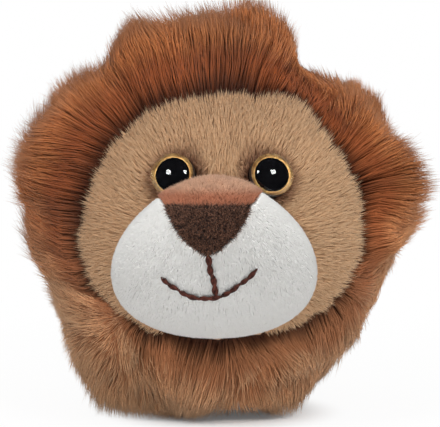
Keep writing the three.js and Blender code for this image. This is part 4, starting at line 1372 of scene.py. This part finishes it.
def ply_point(ply, ring, side):
    """A point on a ply. The stitch is 1 long, centred along Z, and is measured in radii across it."""
    along = ring / PLY_RINGS - 0.5
    narrowing = PLY_SHARES["tip"] + (1 - PLY_SHARES["tip"]) * math.sqrt(max(0.0, 1 - (2 * along) ** 4))
    turn = 2 * math.pi * (PLY_SHARES["turns"] * along + ply / PLIES)
    around = 2 * math.pi * side / PLY_SIDES
    rise = PLY_SHARES["arch"] - PLY_SHARES["dive"] * (2 * along) ** 2
    across = PLY_SHARES["off"] * math.cos(turn) + PLY_SHARES["radius"] * math.cos(around)
    beside = PLY_SHARES["off"] * math.sin(turn) + PLY_SHARES["radius"] * math.sin(around)
    return Vector((narrowing * across + rise, narrowing * beside, along))


def tube(grid, rings):
    """Joins rings of points into a closed tube, and adds it to a bmesh."""
    loops = [[grid.verts.new(point) for point in ring] for ring in rings]
    for low, high in zip(loops, loops[1:]):
        for side in range(len(low)):
            following = (side + 1) % len(low)
            grid.faces.new((low[side], low[following], high[following], high[side]))
    grid.faces.new(loops[0][::-1])
    grid.faces.new(loops[-1])


def finish_grid(grid, name):
    """A new object from a bmesh, with its faces outwards and smooth."""
    bmesh.ops.recalc_face_normals(grid, faces=grid.faces)
    mesh = bpy.data.meshes.new(name)
    grid.to_mesh(mesh)
    grid.free()
    mesh.shade_smooth()
    made = bpy.data.objects.new(name, mesh)
    bpy.context.collection.objects.link(made)
    return made


grid = bmesh.new()
for ply in range(PLIES):
    rings = range(PLY_RINGS + 1)
    tube(grid, [[ply_point(ply, ring, side) for side in range(PLY_SIDES)] for ring in rings])
one_stitch = finish_grid(grid, "one_stitch")
print("faces in a stitch:", len(one_stitch.data.polygons))

# %% [markdown]
# ## Laying the stitches
# The tree trims half a stitch off each end of the centreline and puts a point on the middle of every
# stitch. There it turns the stitch along the line, with its arch away from the muzzle, and stretches it to
# its length.

# %% Build the stitch tree
STITCH_INPUTS = {
    "Line": "Geometry",
    "Stitch": "Object",
    "Count": "Int",
    "Radius": "Float",
    "Overlap": "Float",
    "Muzzle Centre": "Vector",
    "Material": "Material",
}


def stitch_tree():
    tree = bpy.data.node_groups.new("Stitches", "GeometryNodeTree")
    for name, kind in STITCH_INPUTS.items():
        add_socket(tree, name, kind)
    add_socket(tree, "Stitches", "Geometry", "OUTPUT")
    given = node(tree, "NodeGroupInput").outputs
    curve = node(tree, "GeometryNodeMeshToCurve", {"Mesh": given["Line"]}).outputs[0]
    length = node(tree, "GeometryNodeCurveLength", {"Curve": curve}).outputs[0]
    half_share = math_node(tree, "DIVIDE", 0.5, given["Count"])
    far_share = math_node(tree, "SUBTRACT", 1.0, half_share)
    trimmed_inputs = {"Curve": curve, "Start": half_share, "End": far_share}
    middles = node(tree, "GeometryNodeTrimCurve", trimmed_inputs).outputs[0]
    point_inputs = {"Curve": middles, "Count": given["Count"]}
    points = node(tree, "GeometryNodeCurveToPoints", point_inputs, mode="COUNT").outputs
    place = node(tree, "GeometryNodeInputPosition").outputs[0]
    outwards = vector_node(tree, "SUBTRACT", place, given["Muzzle Centre"])
    aligning = "FunctionNodeAlignRotationToVector"
    lengthways = node(tree, aligning, {"Vector": points["Tangent"]}, axis="Z").outputs[0]
    arched_inputs = {"Rotation": lengthways, "Vector": outwards}
    arched = node(tree, aligning, arched_inputs, axis="X", pivot_axis="Z").outputs[0]
    each = math_node(tree, "MULTIPLY", math_node(tree, "DIVIDE", length, given["Count"]), given["Overlap"])
    scale = node(tree, "ShaderNodeCombineXYZ", {0: given["Radius"], 1: given["Radius"], 2: each}).outputs[0]
    shape = node(tree, "GeometryNodeObjectInfo", {"Object": given["Stitch"]}).outputs["Geometry"]
    sewn = realized(tree, points[0], shape, Rotation=arched, Scale=scale)
    end_tree(tree, sewn, given["Material"], "Stitches")
    return tree


STITCHES = stitch_tree()
print("stitch tree nodes:", len(STITCHES.nodes))

# %% [markdown]
# ## Drifting colours
# Nothing on the toy is one flat colour: thread, the dark rim of painted shadow on the domes, gold and
# plastic all drift a little between a darker and a paler tone. That is one effect, so it is one node group,
# which also puts out its cloud, for the bump and the roughness to follow.

# %% The drift group and plain materials
CLOUD_LOW, CLOUD_HIGH = 0.3, 0.7  # the noise values that give the first colour and the second


def drift_group():
    group = bpy.data.node_groups.new("Drift", "ShaderNodeTree")
    for name, kind in (("First", "Color"), ("Second", "Color"), ("Scale", "Float")):
        add_socket(group, name, kind)
    add_socket(group, "Colour", "Color", "OUTPUT")
    add_socket(group, "Cloud", "Float", "OUTPUT")
    given = node(group, "NodeGroupInput").outputs
    noise_inputs = {"Vector": object_place(group), "Scale": given["Scale"], "Detail": 3.0}
    cloud = node(group, "ShaderNodeTexNoise", noise_inputs).outputs[0]
    share = ramp_node(group, cloud, CLOUD_LOW, CLOUD_HIGH)
    colour = mix_colours(group, share, given["First"], given["Second"])
    node(group, "NodeGroupOutput", {"Colour": colour, "Cloud": cloud})
    return group


def plain_material(name, colour, roughness):
    """A material to refine: its shader, its tree and itself."""
    material = bpy.data.materials.new(name)
    material.use_nodes = True
    shader = material.node_tree.nodes["Principled BSDF"]
    shader.inputs["Base Color"].default_value = srgb(*colour)
    shader.inputs["Roughness"].default_value = roughness
    return shader, material.node_tree, material


def drift(tree, shader, first, second, scale):
    """Lets the base colour drift between two colours, and gives the cloud that it follows."""
    inputs = {"First": srgb(*first), "Second": srgb(*second), "Scale": scale}
    drifting = node(tree, "ShaderNodeGroup", inputs, node_tree=DRIFT).outputs
    tree.links.new(drifting["Colour"], shader.inputs["Base Color"])
    return drifting["Cloud"]


def vary_roughness(tree, shader, cloud, smooth, rough, low=CLOUD_LOW, high=CLOUD_HIGH):
    tree.links.new(ramp_node(tree, cloud, low, high, smooth, rough), shader.inputs["Roughness"])


def add_bump(tree, shader, height, distance, strength=1.0):
    inputs = {"Height": height, "Distance": distance, "Strength": strength}
    tree.links.new(node(tree, "ShaderNodeBump", inputs).outputs[0], shader.inputs["Normal"])


DRIFT = drift_group()
print("drift group sockets:", ", ".join(socket.name for socket in DRIFT.interface.items_tree))

# %% [markdown]
# ## Sewing the mouth
# The thread is dull cotton, finely fuzzy, its tone drifting at random and darkest where its bump sinks
# between its fibres, a painted shade. Each row of stitches is one mesh that begins as a bare line of points,
# takes its shape from the tree, and stands for its CAD thread.

# %% Sew
STITCH_OVERLAP = 1.12
SMILE_STITCHES, LIP_STITCHES = 5, 2
LIP_RADIUS = 1.25 * THREAD_RADIUS
LIP_RUN_ON = 0.9 * MM
FUZZ_DEPTH = 0.06 * MM
shader, tree, THREAD = plain_material("embroidery_thread", (58, 26, 19), 0.7)
# Partly painted shade: the thread's tone drifts at random, and is darkest where the fuzz bump sinks.
add_bump(tree, shader, drift(tree, shader, (38, 16, 11), (84, 40, 30), 1400.0), FUZZ_DEPTH)
shader.inputs["Specular IOR Level"].default_value = 0.2


def sew(node_name, line, count, radius):
    """A row of stitches along a centreline, in place of its CAD thread."""
    row = new_piece(node_name + "_thread", line, [])
    row.data.edges.add(len(line) - 1)
    for index, edge in enumerate(row.data.edges):
        edge.vertices = (index, index + 1)
    laying = row.modifiers.new("Stitches", "NODES")
    laying.node_group = STITCHES
    set_inputs(laying, {
        "Stitch": one_stitch,
        "Count": count,
        "Radius": radius,
        "Overlap": STITCH_OVERLAP,
        "Muzzle Centre": MUZZLE_CENTRE,
        "Material": THREAD,
    })
    applied(row, laying)
    only_material(row.data, THREAD)
    row.data.shade_smooth()
    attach(row, "root")
    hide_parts(node_name)
    print(row.name, "triangles:", triangles_in(row))


def lengthened(line, ends):
    """A centreline that runs on a little at both ends."""
    before = line[0] + (line[0] - line[1]).normalized() * ends
    after = line[-1] + (line[-1] - line[-2]).normalized() * ends
    return [before, *line, after]


sew("smile_stitching", SMILE_LINE, SMILE_STITCHES, THREAD_RADIUS)
sew("lip_stitching", lengthened(LIP_LINE, LIP_RUN_ON), LIP_STITCHES, LIP_RADIUS)
bpy.data.objects.remove(one_stitch)

# %% [markdown]
# ## The eyes
# A safety eye is a clear dome moulded over a gold ring and a black pupil, on a ridged shank that a washer
# locks from inside. The CAD moulding, ring and washer have the right shape and only get materials. The dome
# needs to be smooth to mirror the lamps cleanly, so it is turned again with many sides from the CAD dome's
# own sizes. It reaches just into the ring and the pupil, because a film of air between them would mirror
# like silver.

# %% Turn the domes
LENS_SIDES = 64
DOME_STEPS = 16
CONTACT = 0.02 * MM
SHARP_ANGLE = math.radians(40)
SMEARED = (0.45, 0.8)  # the noise values between which the clean dome becomes smeared


def turned_sizes(mesh, axis):
    """The pairs of distance from an eye's axis and height along it, of a mesh's points."""
    offsets = [vertex.co - BALL for vertex in mesh.vertices]
    return [((offset - axis * offset.dot(axis)).length, offset.dot(axis)) for offset in offsets]


def lathe(name, profile, axis, sides):
    """A closed solid turned about an axis through the ball's centre."""
    side = axis.orthogonal().normalized()
    other = axis.cross(side)
    grid = bmesh.new()
    loops = []
    for radius, height in profile:
        turns = [2 * math.pi * step / sides for step in range(sides)] if radius > 0 else [0.0]
        rays = [side * math.cos(turn) + other * math.sin(turn) for turn in turns]
        loops.append([grid.verts.new(BALL + axis * height + ray * radius) for ray in rays])
    for low, high in zip(loops, loops[1:]):
        for step in range(sides):
            spots = ((low, step), (low, step + 1), (high, step + 1), (high, step))
            corners = [loop[at % len(loop)] for loop, at in spots]
            grid.faces.new(list(dict.fromkeys(corners)))
    return finish_grid(grid, name)


def dome_profile(side, axis):
    """The dome's outline: its foot on the ring and the pupil, its straight rim and its crown."""
    meshes = [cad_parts[f"{side}_eye_{part}"].data for part in ("lens", "iris", "moulding")]
    lens, iris, moulding = (turned_sizes(mesh, axis) for mesh in meshes)
    radius, top = max(lens)[0], max(height for _, height in lens)
    shoulder = max(height for wide, height in lens if wide > radius - CONTACT)
    flange = max(height for wide, height in moulding if wide > radius - CONTACT) - CONTACT
    ring_inside, ring_outside = min(iris)[0] + CONTACT, max(iris)[0]
    ring_top = max(height for _, height in iris) - CONTACT
    foot = [(0, flange), (ring_inside, flange), (ring_inside, ring_top), (ring_outside, ring_top)]
    rim = [(ring_outside + CONTACT, flange), (radius, flange)]
    steps = [step / DOME_STEPS * math.pi / 2 for step in range(DOME_STEPS)]
    crown = [(radius * math.cos(angle), shoulder + (top - shoulder) * math.sin(angle)) for angle in steps]
    return foot + rim + crown + [(0, top)]


shader, tree, LENS = plain_material("clear_dome", (250, 250, 250), 0.02)
shader.inputs["Transmission Weight"].default_value = 1.0
shader.inputs["IOR"].default_value = 1.45
smear_inputs = {"Vector": object_place(tree), "Scale": 500.0, "Detail": 4.0}
smears = node(tree, "ShaderNodeTexNoise", smear_inputs).outputs[0]
vary_roughness(tree, shader, smears, 0.012, 0.05, *SMEARED)
# A dark material on the domes' side walls: a painted shadow for the dark gap where the pile meets the eye.
shader, tree, PAINTED_SHADOW_RIM = plain_material("dome_rim_painted_shadow", (30, 18, 12), 0.5)
drift(tree, shader, (22, 13, 9), (40, 25, 17), 800.0)


def shade_dome_rim(dome, axis):
    """Gives the straight side wall of a dome a dark material: a painted shadow for the dark gap round the
    eye.
    """
    wide = [radius for radius, _ in turned_sizes(dome.data, axis)]
    widest = max(wide) - CONTACT
    for face in dome.data.polygons:
        face.material_index = int(all(wide[corner] > widest for corner in face.vertices))


for side, axis in zip(("left", "right"), EYE_AXES):
    dome = lathe(side + "_clear_dome", dome_profile(side, axis), axis, LENS_SIDES)
    dome.data.set_sharp_from_angle(angle=SHARP_ANGLE)
    dome.data.materials.append(LENS)
    dome.data.materials.append(PAINTED_SHADOW_RIM)
    shade_dome_rim(dome, axis)
    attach(dome, "root")
    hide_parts(side + "_eye_lens")
print("dome sides:", LENS_SIDES)

# %% [markdown]
# ## The eyes' plastic and metal
# The ring is metallised: a thin vacuum-coated gold with a faint grain. The pupil and shank are one glossy
# black moulding, and the washer is plain natural plastic with a slightly frosted skin.

# %% Give the CAD pieces their materials
shader, tree, GOLD = plain_material("gold_ring", (184, 142, 82), 0.4)
shader.inputs["Metallic"].default_value = 0.7
vary_roughness(tree, shader, drift(tree, shader, (160, 112, 58), (206, 164, 98), 900.0), 0.34, 0.48)
shader, tree, BLACK = plain_material("black_moulding", (9, 9, 11), 0.2)
shader.inputs["Specular IOR Level"].default_value = 0.0
vary_roughness(tree, shader, drift(tree, shader, (6, 6, 8), (13, 13, 16), 700.0), 0.12, 0.3)
shader, tree, WASHER = plain_material("natural_plastic", (228, 226, 218), 0.5)
FROST_DEPTH, FROST_STRENGTH = 0.05 * MM, 0.5
frost = drift(tree, shader, (218, 215, 205), (236, 235, 229), 500.0)
add_bump(tree, shader, frost, FROST_DEPTH, FROST_STRENGTH)
for side in ("left", "right"):
    for part, material in (("moulding", BLACK), ("iris", GOLD), ("washer", WASHER)):
        only_material(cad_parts[f"{side}_eye_{part}"].data, material)
print("eye materials:", GOLD.name, BLACK.name, WASHER.name)

# %% [markdown]
# ## What fills it
# Inside are loose polyester fibre, a wad of the same under the muzzle, and a small cloth bag of pellets
# that weights the seat. None of it shows, but it belongs to the toy. Each is its CAD solid remeshed into
# even squares and pushed inwards by a soft noise, so that it is lumpy and stays clear of the pieces round
# it.

# %% Make the fillings
DOUBLES = 0.01 * MM
LEAST_DENT = 0.2
WOOL_DEPTH, WEAVE_DEPTH = 0.4 * MM, 0.1 * MM


def lumpy(node_name, voxel, depth, scale):
    """A soft copy of a CAD solid, dented by up to a depth."""
    copied = bmesh.new()
    copied.from_mesh(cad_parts[node_name].data)
    bmesh.ops.remove_doubles(copied, verts=copied.verts, dist=DOUBLES)
    wad = finish_grid(copied, node_name + "_wad")
    remesh = wad.modifiers.new("Remesh", "REMESH")
    remesh.mode = "VOXEL"
    remesh.voxel_size = voxel
    applied(wad, remesh)
    normals = [vertex.normal.copy() for vertex in wad.data.vertices]
    for vertex, normal in zip(wad.data.vertices, normals):
        dent = 0.5 + 0.5 * noise.noise(vertex.co * scale)  # from 0 to 1
        vertex.co -= normal * (depth * (LEAST_DENT + (1 - LEAST_DENT) * dent))
    wad.data.shade_smooth()
    return wad


def wool_material():
    shader, tree, material = plain_material("polyester_fibre", (238, 238, 234), 0.9)
    inputs = {"Vector": object_place(tree), "Scale": 160.0, "Detail": 6.0, "Distortion": 2.0}
    strands = node(tree, "ShaderNodeTexNoise", inputs).outputs[0]
    share = ramp_node(tree, strands, 0.35, 0.65)
    colour = mix_colours(tree, share, srgb(214, 214, 208), srgb(246, 246, 243))
    tree.links.new(colour, shader.inputs["Base Color"])
    add_bump(tree, shader, strands, WOOL_DEPTH)
    shader.inputs["Sheen Weight"].default_value = 0.3
    return material


def woven_material():
    shader, tree, material = plain_material("pellet_cloth", (214, 209, 199), 0.85)
    inputs = {"Vector": object_place(tree), "Scale": 520.0, "Distortion": 0.4}
    threads = [node(tree, "ShaderNodeTexWave", inputs, bands_direction=axis) for axis in ("X", "Y")]
    weave = math_node(tree, "MAXIMUM", *(wave.outputs[1] for wave in threads))
    colour = mix_colours(tree, weave, srgb(176, 170, 158), srgb(224, 220, 211))
    tree.links.new(colour, shader.inputs["Base Color"])
    add_bump(tree, shader, weave, WEAVE_DEPTH)
    return material


WOOL, WOVEN = wool_material(), woven_material()
HIDDEN = {
    "fibre_filling": {"voxel": 1.6 * MM, "depth": 0.5 * MM, "scale": 110.0},
    "muzzle_padding": {"voxel": 1.2 * MM, "depth": 0.5 * MM, "scale": 160.0},
    "pellet_bag": {"voxel": 0.9 * MM, "depth": 0.45 * MM, "scale": 420.0},
}
for name, lumps in HIDDEN.items():
    wad = lumpy(name, **lumps)
    is_bag = name == "pellet_bag"
    only_material(wad.data, WOVEN if is_bag else WOOL)
    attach(wad, "root")
    stand_for(name)
    print(wad.name, "triangles:", triangles_in(wad))
